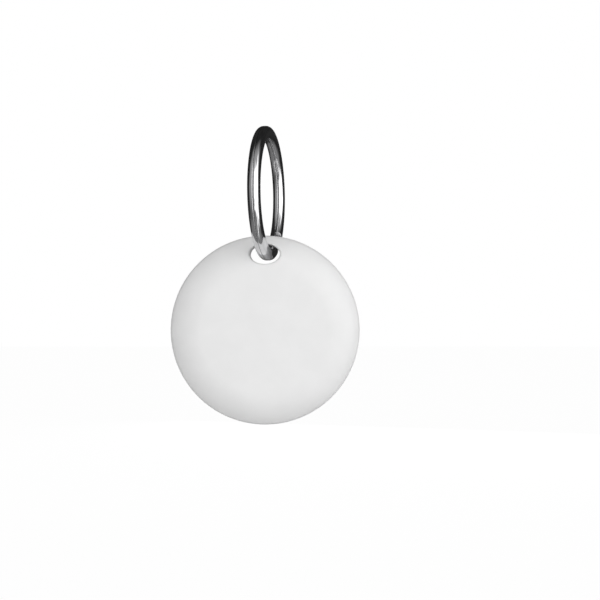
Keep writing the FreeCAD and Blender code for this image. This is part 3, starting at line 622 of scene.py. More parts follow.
def separate(place):
    parts = add(place.tree, "ShaderNodeSeparateXYZ", {"Vector": place})
    return [read(parts, axis) for axis in "XYZ"]


def combine(x, y, z=0.0):
    return read(add(x.tree, "ShaderNodeCombineXYZ", {"X": x, "Y": y, "Z": z}))


def from_axis(a, b):
    """Distance from the third axis."""
    return read(add(a.tree, "ShaderNodeVectorMath", {0: combine(a, b)}, operation="LENGTH"), "Value")


def pointiness(tree):
    return read(add(tree, "ShaderNodeNewGeometry"), "Pointiness")


# ---- shader groups
GROUPS = {}
FINISHES = {}


def new_group(name, amount, default, *outputs):
    """Shader node group that takes a place and an amount. Gives both, and the inputs its results go to."""
    group = bpy.data.node_groups.new(name, "ShaderNodeTree")
    group.interface.new_socket(name="Vector", in_out="INPUT", socket_type="NodeSocketVector")
    socket = group.interface.new_socket(name=amount, in_out="INPUT", socket_type="NodeSocketFloat")
    socket.default_value = default
    for label in outputs:
        group.interface.new_socket(name=label, in_out="OUTPUT", socket_type="NodeSocketFloat")
    GROUPS[name] = group
    given = add(group, "NodeGroupInput")
    return read(given, "Vector"), read(given, amount), add(group, "NodeGroupOutput").inputs


def make_groups():
    """Effects that several finishes share."""
    place, grain_size, out = new_group("moulded_grain", "Grain Size", 0.0001, "Height", "Mottle")
    scale = 1.0 / grain_size
    fine = noise(place, scale, 4.0, 0.6)
    coarse = noise(place, scale * 0.13, 3.0)
    feed(out["Height"], fine * 0.7 + coarse * 0.5)
    feed(out["Mottle"], ramp(noise(place, 190.0, 3.0, 0.55), 0.3, 0.72))

    place, amount, out = new_group("edge_wear", "Amount", 0.5, "Mask")
    edge = ramp(pointiness(place.tree), 0.52, 0.62)
    patches = ramp(noise(place, 900.0, 4.0, 0.65), 0.42, 0.62)
    feed(out["Mask"], edge * patches * amount)

    place, amount, out = new_group("handling_marks", "Amount", 0.3, "Smudge", "Scratch")
    smudge = ramp(noise(place, 130.0, 4.0, 0.6), 0.46, 0.74)
    fineness = 3200.0
    lines = 0.0
    for turn, stretch in ((0.5, 26.0), (-0.9, 34.0), (1.4, 22.0)):
        along = mapping(place, rotation=(0.3, turn, 0.2), scale=(fineness, fineness, fineness / stretch))
        streak = noise(along, 1.0, 2.0, 0.5)
        thin = ramp(calculate("ABSOLUTE", streak - 0.5), 0.0, 0.012, 1.0, 0.0)
        rare = ramp(noise(place, 260.0 + 90 * turn, 2.0), 0.56, 0.66)
        lines = thin * rare + lines
    feed(out["Smudge"], smudge * amount)
    feed(out["Scratch"], calculate("MINIMUM", lines, 1.0) * amount)

    place, pitch, out = new_group("round_brushing", "Pitch", 0.00005, "Height")
    x, y, z = separate(place)
    wound = combine(from_axis(x, z) / pitch, calculate("ARCTAN2", z, x) * 1.6, y / pitch)
    feed(out["Height"], noise(wound, 1.0, 3.0, 0.6))

    place, amount, out = new_group("settled_dust", "Amount", 0.2, "Mask")
    hollow = ramp(pointiness(place.tree), 0.5, 0.4)
    specks = ramp(noise(place, 5200.0, 2.0, 0.5), 0.6, 0.75)
    feed(out["Mask"], (hollow * 0.6 + specks * 0.35) * amount)


def effect(name, place, amount):
    """Place a shared group in a material. Gives its outputs."""
    node = add(place.tree, "ShaderNodeGroup", node_tree=GROUPS[name])
    feed(node.inputs[0], place)
    feed(node.inputs[1], amount)
    return [Reading(socket) for socket in node.outputs]


# ---- finishes
def new_finish(name):
    """Start a material. Gives the inputs of its Principled shader, and the place on the object."""
    material = bpy.data.materials.new(name)
    tree = fresh_tree(material)
    shader = add(tree, "ShaderNodeBsdfPrincipled")
    add(tree, "ShaderNodeOutputMaterial", {"Surface": read(shader)})
    FINISHES[name] = material
    return shader.inputs, read(add(tree, "ShaderNodeTexCoord"), "Object")


def fill_in(shader, body, rough, height, relief):
    """Give a Principled shader its colour, roughness and relief."""
    feed(shader["Base Color"], body)
    feed(shader["Roughness"], rough)
    feed(shader["Normal"], read(add(height.tree, "ShaderNodeBump", {
        "Height": height, "Distance": relief, "Strength": 1.0})))


def rgba(tint, factor=1.0, lift=0.0):
    return tuple(min(c * factor + lift, 1.0) for c in tint) + (1.0,)


def moulded(name, tint, roughness, grain_size, relief, wear=0.15, dust=0.1, marks=0.2, specular=0.5,
            variation=0.05):
    """Moulded plastic or rubber: grain, faint flow mottle, handling marks, wear and dust."""
    shader, place = new_finish(name)
    grain, mottle = effect("moulded_grain", place, grain_size)
    smudge, scratch = effect("handling_marks", place, marks)
    worn, = effect("edge_wear", place, wear)
    dusty, = effect("settled_dust", place, dust)
    body = mix(mottle, rgba(tint, 1 - variation), rgba(tint, 1 + variation * 0.4))
    body = mix(worn, body, rgba(tint, 1.15, 0.04))
    body = mix(dusty, body, (0.42, 0.40, 0.37, 1))
    rough = grain * 0.06 + (roughness - 0.03) - smudge * 0.22 - worn * 0.15
    fill_in(shader, body, rough, grain - scratch * 0.8, relief)
    feed(shader["Specular IOR Level"], specular)


def metal(name, tint, roughness, relief, pitch=0.00004, tarnish=0.08, centre=(0, 0, 0)):
    """Sheet, turned or plated metal: brushing about an axis along Y, marks and faint tarnish."""
    shader, place = new_finish(name)
    brushed, = effect("round_brushing", mapping(place, location=tuple(-c for c in centre)), pitch)
    smudge, scratch = effect("handling_marks", place, 0.35)
    worn, = effect("edge_wear", place, 0.2)
    stain = ramp(noise(place, 420.0, 4.0, 0.6), 0.45, 0.75)
    body = mix(stain * (tarnish * 4), rgba(tint), rgba(tint, 0.72))
    body = mix(worn, body, rgba(tint, 1.25))
    rough = brushed * 0.09 + (roughness - 0.04) + smudge * 0.2 + scratch * 0.25
    fill_in(shader, body, rough, brushed - scratch, relief)
    feed(shader["Metallic"], 1.0)


def plated_ring(name, tint):
    """Polished plating on drawn wire: streaks run along the wire, with tiny nicks across them."""
    shader, place = new_finish(name)
    x, y, z = separate(mapping(place, rotation=(0, 0, RING_YAW)))
    radius = from_axis(y, z)
    around = calculate("ARCTAN2", z, y)
    streaks, bands = (noise(combine(x * fineness, radius * fineness, around * turns), 1.0, detail, 0.5)
                      for fineness, turns, detail in ((9000.0, 2.2, 1.0), (1500.0, 0.9, 2.0)))
    smudge, scratch = effect("handling_marks", place, 0.5)
    worn, = effect("edge_wear", place, 0.25)
    body = mix(ramp(bands, 0.35, 0.7), rgba(tint, 0.86), rgba(tint, 1.12))
    body = mix(worn, body, rgba(tint, 1.35))
    rough = streaks * 0.06 + 0.04 + smudge * 0.16 + scratch * 0.3
    fill_in(shader, body, rough, streaks + bands * 0.9 - scratch * 1.5, 0.000001)
    feed(shader["Metallic"], 1.0)


def board_mask(name, tint):
    """Glossy solder mask: tracks lie under it as raised, paler lines, with tinned vias between them; each via's
    bore is painted near-black, a painted shade standing in for the hole.
    """
    shader, place = new_finish(name)
    flat = mapping(place, rotation=(math.pi / 2, 0, 0))

    def cells(scale, randomness, feature, distance="EUCLIDEAN"):
        """Distance to the nearest, or second nearest, of scattered points."""
        return read(add(flat.tree, "ShaderNodeTexVoronoi", {
            "Vector": flat, "Scale": scale, "Randomness": randomness},
            distance=distance, feature=feature, voronoi_dimensions="2D"), "Distance")

    tracks = 0.0
    for scale, low, high in ((330.0, 0.05, 0.08), (760.0, 0.07, 0.12)):
        nearest, second = (cells(scale, 0.6, feature, "CHEBYCHEV") for feature in ("F1", "F2"))
        tracks = calculate("MAXIMUM", tracks, ramp(second - nearest, low, high, 1.0, 0.0))
    spot = cells(380.0, 0.8, "F1")
    # Each via's bore: painted shade, a near-black disc standing in for the dark inside of the hole, besides a
    # dent in the relief.
    shade_painted_bore = ramp(spot, 0.035, 0.05, 1.0, 0.0)
    tinned = ramp(spot, 0.085, 0.10, 1.0, 0.0) - shade_painted_bore
    weave = noise(flat, 4200.0, 2.0, 0.5)
    smudge = effect("handling_marks", place, 0.25)[0]
    body = mix(tracks, rgba(tint), rgba(tint, 1.8, 0.012))
    body = mix(weave * 0.35, body, rgba(tint, 0.7))
    body = mix(tinned, body, (0.62, 0.60, 0.52, 1))
    # The via's bore is painted near-black here: painted shade.
    body = mix(shade_painted_bore, body, (0.004, 0.004, 0.004, 1))
    fill_in(shader, body, smudge * 0.3 + 0.24, tracks + weave * 0.08 - shade_painted_bore * 2.0, 0.00002)
    feed(shader["Metallic"], tinned)


# ---- operators
class TAG_OT_finishes(bpy.types.Operator):
    """Make the shared shader groups and one material for each finish"""
    bl_idname = "tracker_tag.finishes"
    bl_label = "Finishes"

    def execute(self, context):
        colours = context.scene.tag_colours
        make_groups()
        cell_middle = (CELL_X, 0, CELL_Z)
        moulded("white_shell", colours.shell, 0.40, 0.00011, 0.0000022, wear=0.1, dust=0.05, marks=0.06,
                variation=0.018)
        moulded("white_door", colours.shell, 0.44, 0.00010, 0.0000028, wear=0.12, dust=0.06, marks=0.08,
                variation=0.022)
        plated_ring("ring_plating", colours.chrome)
        moulded("seal_silicone", colours.seal, 0.62, 0.00006, 0.000004, wear=0.0, dust=0.35, specular=0.3)
        moulded("cradle_nylon", colours.cradle, 0.52, 0.00008, 0.000004, wear=0.3, dust=0.2)
        board_mask("solder_mask", colours.board)
        moulded("chip_resin", (0.02, 0.02, 0.022), 0.48, 0.00005, 0.000004, wear=0.3, dust=0.25)
        moulded("coil_ferrite", (0.06, 0.06, 0.062), 0.6, 0.00005, 0.000006, wear=0.4, dust=0.3)
        moulded("capacitor_ceramic", (0.42, 0.33, 0.22), 0.5, 0.00004, 0.000002, wear=0.25, dust=0.15)
        moulded("antenna_ceramic", (0.62, 0.63, 0.64), 0.42, 0.00004, 0.000002, wear=0.2, dust=0.15)
        moulded("resistor_glaze", (0.03, 0.03, 0.035), 0.3, 0.00005, 0.000002, wear=0.3, dust=0.15)
        moulded("switch_nylon", (0.05, 0.05, 0.052), 0.5, 0.00005, 0.000003, wear=0.3, dust=0.2)
        moulded("cell_nylon", (0.62, 0.58, 0.46), 0.5, 0.00006, 0.000003, wear=0.1, dust=0.15)
        moulded("cell_powder", (0.02, 0.02, 0.02), 0.85, 0.00005, 0.00001, wear=0.1, dust=0.1, specular=0.2)
        moulded("tacky_film", (0.70, 0.68, 0.56), 0.35, 0.00012, 0.000004, wear=0.0, dust=0.3)
        moulded("silvered_ceramic", (0.66, 0.64, 0.58), 0.35, 0.00006, 0.000003, wear=0.15, dust=0.15)
        metal("cell_steel", (0.62, 0.62, 0.63), 0.26, 0.0000022, 0.00003, centre=cell_middle)
        metal("cell_lithium", (0.55, 0.55, 0.56), 0.45, 0.000006, 0.0002, centre=cell_middle, tarnish=0.2)
        metal("spring_gold", (0.83, 0.66, 0.36), 0.25, 0.000002)
        metal("switch_steel", (0.60, 0.60, 0.60), 0.28, 0.000002)
        metal("crystal_lid", (0.66, 0.64, 0.58), 0.3, 0.000002, 0.00005)
        metal("sounder_brass", (0.78, 0.56, 0.24), 0.3, 0.000003, 0.00006, tarnish=0.15,
              centre=(PLATE_X, 0, PLATE_Z))
        metal("tin_solder", (0.70, 0.70, 0.71), 0.3, 0.000006, 0.0002, tarnish=0.12)
        metal("coil_copper", (0.78, 0.36, 0.18), 0.34, 0.000003, 0.00008, tarnish=0.12)
        return {"FINISHED"}


class TAG_OT_front_shell(bpy.types.Operator):
    """Model the domed face with its mouth, eyelet, board posts, sounder seat and pusher"""
    bl_idname = "tracker_tag.front_shell"
    bl_label = "Front shell"

    def posts(self, sizes, foot):
        """Four board posts, each with a pin and the pin's heat-formed head."""
        ear = CRADLE_Y + 0.0008  # rear face of the cradle's ear
        edge, head, head_height = 0.0001, 0.0012, 0.00035
        post, pin = sizes.post_radius, sizes.pin_radius
        rings = [(post * 0.5, foot), (post, foot), (post, BOARD_Y - edge), (post - edge, BOARD_Y),
                 (pin, BOARD_Y), (pin, ear), (head - edge / 2, ear), (head, ear + edge),
                 (head - 0.00015, ear + 0.8 * head_height), (pin, ear + head_height)]
        turns = [math.radians(angle) for angle in (35, 145, 220, 320)]
        return [turned(rings, TAG_X + sizes.post_circle * math.cos(turn),
                       TAG_Z + sizes.post_circle * math.sin(turn), 40) for turn in turns]

    def execute(self, context):
        sizes = context.scene.tag_sizes
        face = shell_body(FACE_Y, FRONT_SEAM_Y, sizes)
        mouth = TAG_RADIUS - sizes.rim_wall
        boss = sizes.eyelet_width / 2 + sizes.eyelet_wall
        floor = FRONT_SEAM_Y + sizes.seam_gap - sizes.tongue_depth - JOINT_PLAY
        carve(face, cavity(FACE_Y, FRONT_SEAM_Y, sizes, mouth - sizes.tongue, boss + sizes.tongue))
        carve(face, chamber(mouth, boss, floor, FRONT_SEAM_Y + OVERCUT))
        open_eyelet(face, FACE_Y, FRONT_SEAM_Y, sizes)

        inner_y = FACE_Y + sizes.wall
        sunk = inner_y - sizes.wall / 3
        post_sunk = 0.00006
        posts = self.posts(sizes, inner_y - post_sunk)
        width, end, edge = sizes.pusher_radius, PLUNGER_Y - 0.00005, 0.0001
        pusher = turned([(width * 0.4, sunk), (width, sunk), (width, end - edge), (width - edge, end)],
                        TAG_X, TAG_Z, 64)
        seat = bar(PLATE_RADIUS, sunk, GLUE_Y, TAG_X, PLATE_Z, 128)
        carve(seat, bar(PLATE_RADIUS - sizes.seat_width, inner_y - 2 * OVERCUT, GLUE_Y + 2 * OVERCUT,
                        TAG_X, PLATE_Z, 128))
        join(face, *posts, pusher, seat)
        finish_piece(face, "face_shell", "tag", "white_shell", "front_shell", slot="white_shell")
        return {"FINISHED"}


class TAG_OT_rear_shell(bpy.types.Operator):
    """Model the back half with its tongue, eyelet, recess for the battery door and pry notch"""
    bl_idname = "tracker_tag.rear_shell"
    bl_label = "Rear shell"

    def door_bar(self, radius, front, rear=BACK_Y + OVERCUT):
        """Bar about the door's axis."""
        return bar(radius, front, rear, TAG_X, DOOR_Z, 192)

    def execute(self, context):
        sizes = context.scene.tag_sizes
        seam = FRONT_SEAM_Y + sizes.seam_gap
        back = shell_body(BACK_Y, seam, sizes)
        mouth = TAG_RADIUS - sizes.rim_wall
        boss = sizes.eyelet_width / 2 + sizes.eyelet_wall
        tongue = chamber(mouth - JOINT_PLAY, boss + JOINT_PLAY, seam - sizes.tongue_depth, seam + 0.0003)
        carve(back, tongue, "UNION")
        carve(back, cavity(BACK_Y, seam, sizes, mouth - sizes.tongue, boss + sizes.tongue))

        recess = DOOR_RADIUS + sizes.door_gap
        ledge_front = SEAL_LOW.y - sizes.ledge_thickness
        carve(back, self.door_bar(recess + sizes.collar_wall, ledge_front, BACK_Y - sizes.wall / 2), "UNION")
        carve(back, self.door_bar(DOOR_RADIUS - sizes.ledge_inset, ledge_front - OVERCUT))
        carve(back, self.door_bar(recess, SEAL_LOW.y))

        reach = sizes.notch_reach
        notch_z = DOOR_Z - DOOR_RADIUS
        notch = box((TAG_X - sizes.notch_width / 2, BACK_Y - reach, notch_z - reach),
                    (TAG_X + sizes.notch_width / 2, BACK_Y + OVERCUT, notch_z + reach))
        pick_edges(notch, lambda a, b: abs(a.x - b.x) < 1e-6 and abs(a.z - b.z) < 1e-6)
        round_edges(reach * 0.68, 8)
        carve(notch, self.door_bar(DOOR_RADIUS, BACK_Y - 3 * OVERCUT, BACK_Y + 3 * OVERCUT))
        carve(back, notch)

        recess_bevel = 0.00009

        def on_recess(place):
            aside = math.hypot(place.x - TAG_X, place.z - DOOR_Z)
            return abs(place.y - BACK_Y) < sizes.crown + 0.00003 and abs(aside - recess) < 0.00001

        pick_edges(back, lambda a, b: on_recess(a) and on_recess(b))
        round_edges(recess_bevel, 3)
        open_eyelet(back, BACK_Y, seam, sizes)
        finish_piece(back, "back_shell", "tag", "white_shell", "rear_shell", slot="white_shell")
        return {"FINISHED"}


class TAG_OT_battery_door(bpy.types.Operator):
    """Model the round battery door with its spigot, and the seal under its flange"""
    bl_idname = "tracker_tag.battery_door"
    bl_label = "Battery door and seal"

    def execute(self, context):
        sizes = context.scene.tag_sizes
        bevel = sizes.door_bevel
        flange, end = SEAL_HIGH.y, DOOR_LOW.y
        spigot = DOOR_RADIUS - sizes.spigot_inset
        inside = spigot - sizes.spigot_wall
        rim_edge, root, tip, inner_edge = 0.00008, 0.0001, 0.00012, 0.00006
        rings = [(DOOR_RADIUS * share, BACK_Y) for share in (0.08, 0.3, 0.6, 0.9)]
        rings += quarter_round(DOOR_RADIUS, BACK_Y - bevel, bevel)
        rings += [(DOOR_RADIUS, flange + rim_edge), (DOOR_RADIUS - rim_edge, flange), (spigot + root, flange),
                  (spigot, flange - root), (spigot, end + tip), (spigot - tip, end),
                  (inside + inner_edge, end), (inside, end + inner_edge),
                  (inside, flange - root), (inside - root, flange), (spigot * 0.5, flange)]
        finish_piece(turned(rings, TAG_X, DOOR_Z), "battery_lid", "battery_door", "white_door", "battery_door",
                     slot="white_door")

        outer = (SEAL_HIGH.x - SEAL_LOW.x) / 2
        half_width = 0.00025
        middle = (TAG_X, (SEAL_LOW.y + SEAL_HIGH.y) / 2, DOOR_Z)
        seal = torus(outer - half_width, half_width, middle, 192, 20)
        apply_place(seal, scale=(1, 1, (SEAL_HIGH.y - SEAL_LOW.y) / (2 * half_width)))
        finish_piece(seal, "lid_seal", "battery_door", "seal_silicone", "door_seal", slot="seal_silicone",
                     smooth=60)
        return {"FINISHED"}


class TAG_OT_key_ring(bpy.types.Operator):
    """Wind the split ring: two turns of rounded wire joined by a crossing"""
    bl_idname = "tracker_tag.key_ring"
    bl_label = "Key ring"

    def section(self, sizes, angle, offset, low_round, high_round):
        """One section of wire, its low and high sides rounded by their own radius."""
        wire = made(bpy.ops.mesh.primitive_plane_add, size=1.0)
        apply_place(wire, scale=(sizes.wire_width, sizes.wire_depth, 1))
        for side, radius in ((-1, low_round), (1, high_round)):
            corner_x = side * sizes.wire_width / 2
            pick_vertices(wire, lambda place: abs(place.x - corner_x) < 1e-7
                          and abs(abs(place.y) - sizes.wire_depth / 2) < 1e-7)
            bpy.ops.mesh.bevel(offset=radius, segments=9, profile=0.5, affect="VERTICES")
        bpy.ops.mesh.select_all(action="SELECT")
        bpy.ops.mesh.delete(type="ONLY_FACE")
        apply_place(wire, rotation_euler=ALONG_Y)
        apply_place(wire, location=(offset, 0, sizes.wire_depth / 2 - RING_RADIUS))
        apply_place(wire, rotation_euler=(angle, 0, 0))
        return wire

    def turn(self, sizes, side):
        """One turn, spun from its section past the crossing."""
        rounds = (sizes.inner_round, sizes.outer_round) if side > 0 else (sizes.outer_round, sizes.inner_round)
        offset = side * (sizes.wire_width + sizes.turn_gap) / 2
        wire = self.section(sizes, sizes.crossing_start + sizes.crossing_length, offset, *rounds)
        edit_all(wire)
        bpy.ops.mesh.spin(steps=sizes.turn_steps, angle=-(2 * math.pi - sizes.crossing_length),
                          center=(0, 0, 0), axis=(1, 0, 0), use_auto_merge=False)
        put_down()
        return wire

    def execute(self, context):
        sizes = context.scene.ring_sizes
        offset = (sizes.wire_width + sizes.turn_gap) / 2
        sections = []
        angles = []
        for step in range(sizes.crossing_steps + 1):
            share = step / sizes.crossing_steps
            ease = share * share * (3 - 2 * share)
            low = sizes.inner_round + (sizes.outer_round - sizes.inner_round) * ease
            high = sizes.outer_round + (sizes.inner_round - sizes.outer_round) * ease
            angles.append(sizes.crossing_start + sizes.crossing_length * share)
            sections.append(self.section(sizes, angles[-1], offset * (1 - 2 * ease), low, high))
        crossing = join(*sections)
        half_step = sizes.crossing_length / sizes.crossing_steps / 2
        end_bevel = 0.00007

        def angle_of(place):
            return math.atan2(place.y, -place.z)

        for first, second in zip(angles, angles[1:]):
            pick_edges(crossing, lambda a, b: abs(angle_of(a) - angle_of(b)) < half_step / 4
                       and all(first - half_step < angle_of(p) < second + half_step for p in (a, b)))
            bpy.ops.mesh.bridge_edge_loops()
            put_down()
        ring = join(crossing, self.turn(sizes, 1), self.turn(sizes, -1))
        outwards(ring, 0.000002)
        for angle, side in ((angles[-1], 1), (angles[0], -1)):
            pick_edges(ring, lambda a, b: all(abs(angle_of(p) - angle) < 0.002 and p.x * side > 0
                                              and p.z < 0 for p in (a, b)))
            keep_boundary(ring)
            bpy.ops.mesh.edge_face_add()
            round_edges(end_bevel, 2)
        outwards(ring, 0.0000005)
        apply_place(ring, rotation_euler=(0, 0, -RING_YAW))
        finish_piece(ring, "split_ring", "key_ring", "ring_plating", "key_ring", slot="chrome_steel", smooth=40)
        return {"FINISHED"}


class TAG_OT_coin_cell(bpy.types.Operator):
    """Model the steel cup and the cap of the coin cell, with rounded edges"""
    bl_idname = "tracker_tag.coin_cell"
    bl_label = "Coin cell"

    def execute(self, context):
        radius, front, rear = CELL_RADIUS, CAN_LOW.y, CAN_HIGH.y
        wall, edge = 0.00025, 0.00005
        round_over = 0.00022
        groove_y = rear - 0.00004
        lip = radius - 0.00075
        rings = [(radius * share, rear) for share in (0.1, 0.5, 0.86)]
        rings += [(radius * 0.88, groove_y), (radius * 0.92, groove_y), (radius * 0.94, rear)]
        rings += quarter_round(radius, rear - round_over, round_over)
        rings += quarter_round(radius, front + round_over, round_over, 90)
        rings += [(lip + edge, front), (lip, front + edge), (lip, front + wall), (radius - wall, front + wall),
                  (radius - wall, rear - wall), (radius * 0.2, rear - wall)]
        finish_piece(turned(rings, CELL_X, CELL_Z, 192), "cell_cup", "coin_cell", "cell_steel", "cell_can",
                     slot="cell_steel")
        finish_piece(softened("cell_cap", 0.00009, 3), "cell_lid", "coin_cell", "cell_steel", "cell_cap",
                     slot="cell_steel", smooth=40)
        return {"FINISHED"}


class TAG_OT_cradle(bpy.types.Operator):
    """Round the edges of the moulded cradle and of the contact strips"""
    bl_idname = "tracker_tag.cradle"
    bl_label = "Cradle and contacts"

    def execute(self, context):
        for node, name, bevel, finish, slot in (
                ("battery_cradle", "cell_cradle", 0.00012, "cradle_nylon", "cradle_plastic"),
                ("positive_contact", "side_contact", 0.00005, "spring_gold", "spring_metal"),
                ("negative_contact", "leaf_contact", 0.00003, "spring_gold", "spring_metal"),
                ("sounder_contacts", "sounder_springs", 0.00003, "spring_gold", "spring_metal")):
            finish_piece(softened(node, bevel), name, "tag", finish, node, slot=slot, smooth=40)
        return {"FINISHED"}


class TAG_OT_board_parts(bpy.types.Operator):
    """Add the metal ends of the chip parts, the chip's pads and the coil's winding"""
    bl_idname = "tracker_tag.board_parts"
    bl_label = "Board parts"

    def ends(self, node, name, share, slot):
        """Metal caps on the two ends of every chip part in a node."""
        caps = []
        grow = 0.00002
        for low, high in loose_boxes(node):
            along = 0 if high.x - low.x > high.z - low.z else 2
            across = 2 - along
            length = (high[along] - low[along]) * share
            for start, end in ((low[along] - grow, low[along] + length),
                               (high[along] - length, high[along] + grow)):
                a, b = Vector(low), Vector(high)
                a.y -= grow
                a[across] -= grow
                b[across] += grow
                a[along], b[along] = start, end
                caps.append(box(a, b, 2 * grow))
        finish_piece(join(*caps), name, "tag", "tin_solder", slot=slot, smooth=40)

    def chip_pads(self):
        """Soldered pads along the four sides of the radio chip."""
        low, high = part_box("bluetooth_chip")
        count = 8
        pitch = (high.x - low.x) / (count + 1)
        half_width, reach, thick, under = pitch * 0.25, 0.00025, 0.00018, 0.00002
        pads = []
        for index in range(1, count + 1):
            x0, x1 = (low.x + pitch * index + side * half_width for side in (-1, 1))
            z0, z1 = (low.z + pitch * index + side * half_width for side in (-1, 1))
            for left, right, bottom, top in ((x0, x1, high.z - under, high.z + reach),
                                             (x0, x1, low.z - reach, low.z + under),
                                             (high.x - under, high.x + reach, z0, z1),
                                             (low.x - reach, low.x + under, z0, z1)):
                pads.append(box((left, high.y - thick, bottom), (right, high.y, top), 0.00003))
        finish_piece(join(*pads), "chip_legs", "tag", "tin_solder", slot="spring_metal", smooth=40)

    def winding(self):
        """Layers of copper wire between the coil's two flanges."""
        core = COIL_RADIUS * 0.74
        flange = 0.00022
        wire = 0.00007
        layers = []
        y = COIL_LOW.y + flange + wire
        while y < COIL_HIGH.y - flange:
            layers.append(torus(core, wire, (COIL_X, y, COIL_Z), 48, 8))
            apply_place(layers[-1])
            y += wire * 1.9
        finish_piece(join(*layers), "coil_winding", "tag", "coil_copper", slot="coil_ferrite", smooth=60)

    def execute(self, context):
        self.ends("chip_capacitors", "capacitor_ends", 0.24, "chip_ceramic")
        self.ends("chip_resistors", "resistor_ends", 0.22, "resistor_body")
        self.chip_pads()
        self.winding()
        return {"FINISHED"}


class TAG_OT_carried(bpy.types.Operator):
    """Give every CAD piece that is shown as it is its own finish"""
    bl_idname = "tracker_tag.carried"
    bl_label = "Carried pieces"

    def execute(self, context):
        finishes = {
            "circuit_board": "solder_mask", "bluetooth_chip": "chip_resin", "main_crystal": "crystal_lid",
            "watch_crystal": "crystal_lid", "chip_antenna": "antenna_ceramic", "drive_inductor": "coil_ferrite",
            "chip_capacitors": "capacitor_ceramic", "chip_resistors": "resistor_glaze",
            "cell_gasket": "cell_nylon", "cell_cathode": "cell_powder", "cell_anode": "cell_lithium",
            "switch_base": "switch_nylon", "switch_dome": "switch_steel", "switch_plunger": "switch_nylon",
            "switch_cover": "switch_steel", "sounder_adhesive": "tacky_film", "sounder_plate": "sounder_brass",
            "sounder_ceramic": "silvered_ceramic",
        }
        for node, finish in finishes.items():
            carried = frame["nodes"][node]
            if not carried.data.materials:
                carried.data.materials.append(None)
            for slot in carried.material_slots:
                slot.material = FINISHES[finish]
        return {"FINISHED"}


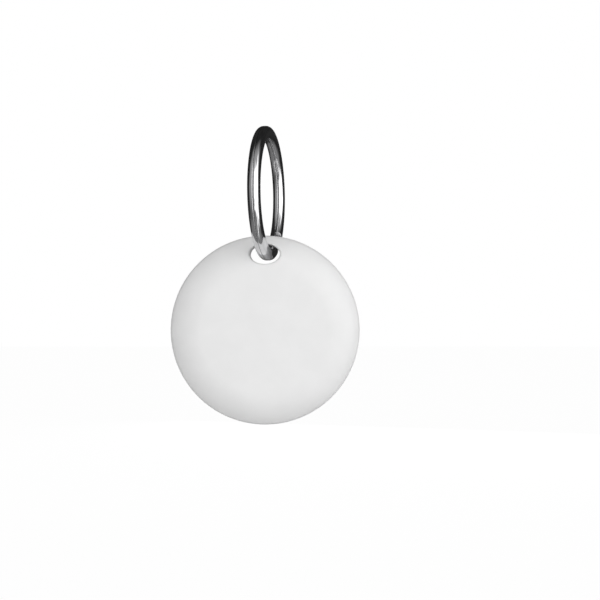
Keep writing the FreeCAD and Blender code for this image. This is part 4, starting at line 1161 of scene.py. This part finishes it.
class TAG_OT_stage(bpy.types.Operator):
    """Set the pale floor, the soft lamps, the white surround and the camera"""
    bl_idname = "tracker_tag.stage"
    bl_label = "Stage"

    def floor(self, sizes):
        """Matt floor, nearly pure white to the camera and left out of reflections."""
        floor = named(made(bpy.ops.mesh.primitive_plane_add, size=2.4,
                           location=(0, 0.3, CAD_LOW[2] - sizes.floor_drop)), "studio_floor")
        apply_place(floor)
        material = bpy.data.materials.new("studio_floor")
        tree = fresh_tree(material)
        place = read(add(tree, "ShaderNodeTexCoord"), "Object")
        path = add(tree, "ShaderNodeLightPath")
        cloud = ramp(noise(place, 9.0, 3.0), 0.3, 0.7)
        matt = add(tree, "ShaderNodeBsdfDiffuse", {"Color": mix(cloud, rgba([0.90] * 3), rgba([0.93] * 3))})
        white = add(tree, "ShaderNodeEmission", {"Color": (1, 1, 1, 1), "Strength": 1.0})
        clear = add(tree, "ShaderNodeBsdfTransparent")
        seen = add(tree, "ShaderNodeMixShader", {
            0: read(path, "Is Camera Ray") * 0.975, 1: read(matt), 2: read(white)})
        shown = add(tree, "ShaderNodeMixShader", {
            0: read(path, "Is Glossy Ray"), 1: read(seen), 2: read(clear)})
        add(tree, "ShaderNodeOutputMaterial", {"Surface": read(shown)})
        floor.data.materials.append(material)

    def surround(self, context):
        """World that is white to the camera, soft light to matt surfaces and a room to glossy ones."""
        context.scene.world = bpy.data.worlds.new("studio")
        tree = fresh_tree(context.scene.world)
        direction = read(add(tree, "ShaderNodeTexCoord"), "Generated")
        path = add(tree, "ShaderNodeLightPath")
        across, depth, up = separate(direction)

        # Soft light: strongest in front, dim far left and overhead, lifted a little far right.
        soft = across * 0.06 + 0.907 - depth * 0.70 - up * 0.07
        soft = soft - ramp(across, -0.55, -0.92) * 0.68 - ramp(up, 0.45, 0.9) * 0.62
        soft = calculate("MAXIMUM", soft + ramp(across, 0.8, 0.97) * 0.5, 0.05)

        # Reflected room: dark, grey in front and below, with one bright panel that a narrow strip borders.
        uneven = noise(direction, 3.4, 3.0, 0.55) - 0.5
        front = ramp(depth - across * 0.25 + uneven * 0.5, 0.1, -0.55)
        below = ramp(up + uneven * 0.8, -0.2, -0.85, 0.0, 0.6)
        lifted = ramp(up + uneven * 0.6, -0.9, 0.1, 0.3, 1.0)
        grey = calculate("MAXIMUM", front * lifted, below)
        level_share = calculate("SQRT", calculate("MAXIMUM", 1.0 - up * up, 0.01))
        turned_to = (across * 0.58 - depth * 0.81) / level_share
        wide = ramp(turned_to + uneven * 0.5, 0.70, 0.79)
        top = ramp(up + uneven * 0.7, 0.80, 0.40)
        bottom = ramp(up + uneven * 0.7, -0.72, -0.42)
        strip = ramp(turned_to, 0.975, 0.992) * ramp(up, 0.2, -0.2)
        panel = calculate("MAXIMUM", top * bottom * wide, strip * 0.7)
        glossy_room = grey * 0.38 + 0.022 + panel * 1.9 + uneven * 0.03

        mirrored = calculate("MAXIMUM", read(path, "Is Glossy Ray"), read(path, "Is Transmission Ray"))
        level = add(tree, "ShaderNodeMix", {0: mirrored, 2: soft, 3: glossy_room}, data_type="FLOAT")
        level = add(tree, "ShaderNodeMix", {0: read(path, "Is Camera Ray"), 2: read(level), 3: 1.0},
                    data_type="FLOAT")
        background = add(tree, "ShaderNodeBackground", {"Color": (1, 1, 1, 1), "Strength": read(level)})
        add(tree, "ShaderNodeOutputWorld", {"Surface": read(background)})

    def lamp(self, name, tag, offset, size, power):
        """Round soft lamp that lights the tag and shows in no reflection."""
        lamp = made(bpy.ops.object.light_add, type="AREA", location=tag + Vector(offset))
        lamp.name = name
        lamp.data.shape = "DISK"
        lamp.data.size = size
        lamp.data.energy = power
        lamp.rotation_euler = (-Vector(offset)).to_track_quat("-Z", "Y").to_euler()
        lamp.visible_glossy = False

    def execute(self, context):
        sizes = context.scene.stage_sizes
        tag = Vector((TAG_X, 0, TAG_Z))
        self.floor(sizes)
        self.surround(context)
        self.lamp("key_lamp", tag, (0.44, -0.15, -0.07), 0.42, 0.29)
        self.lamp("fill_lamp", tag, (-0.20, -0.42, 0.02), 0.40, 0.13)
        self.lamp("rear_lamp", tag, (0.10, 0.42, 0.0), 0.40, 1.4)
        place = tag + Vector((sizes.camera_aside, -sizes.camera_distance, sizes.camera_rise))
        camera = made(bpy.ops.object.camera_add, location=place, rotation=ALONG_Y)
        camera.name = "studio_camera"
        camera.data.lens = sizes.lens
        camera.data.sensor_width = 36.0
        camera.data.clip_start = 0.005
        camera.data.clip_end = 10.0
        context.scene.camera = camera
        context.scene.view_settings.view_transform = "Standard"
        put_down()
        return {"FINISHED"}


OPERATORS = (TAG_OT_finishes, TAG_OT_front_shell, TAG_OT_rear_shell, TAG_OT_battery_door, TAG_OT_key_ring,
             TAG_OT_coin_cell, TAG_OT_cradle, TAG_OT_board_parts, TAG_OT_carried, TAG_OT_stage)


class TAG_PT_sidebar(bpy.types.Panel):
    """Operators, sizes and colours of the tracker tag"""
    bl_idname = "TAG_PT_sidebar"
    bl_label = "Tracker Tag"
    bl_space_type = "VIEW_3D"
    bl_region_type = "UI"
    bl_category = "Tracker Tag"

    def draw(self, context):
        for operator in OPERATORS:
            self.layout.operator(operator.bl_idname)
        for attribute, group in SIZES:
            settings = getattr(context.scene, attribute)
            column = self.layout.column()
            for name in group.__annotations__:
                column.prop(settings, name)


def register():
    for attribute, group in SIZES:
        bpy.utils.register_class(group)
        setattr(bpy.types.Scene, attribute, bpy.props.PointerProperty(type=group))
    for operator in OPERATORS:
        bpy.utils.register_class(operator)
    bpy.utils.register_class(TAG_PT_sidebar)


def unregister():
    bpy.utils.unregister_class(TAG_PT_sidebar)
    for operator in reversed(OPERATORS):
        bpy.utils.unregister_class(operator)
    for attribute, group in reversed(SIZES):
        delattr(bpy.types.Scene, attribute)
        bpy.utils.unregister_class(group)


def main():
    register()
    for operator in OPERATORS:
        family, action = operator.bl_idname.split(".")
        getattr(getattr(bpy.ops, family), action)()
    put_down()


if __name__ == "__main__":
    main()
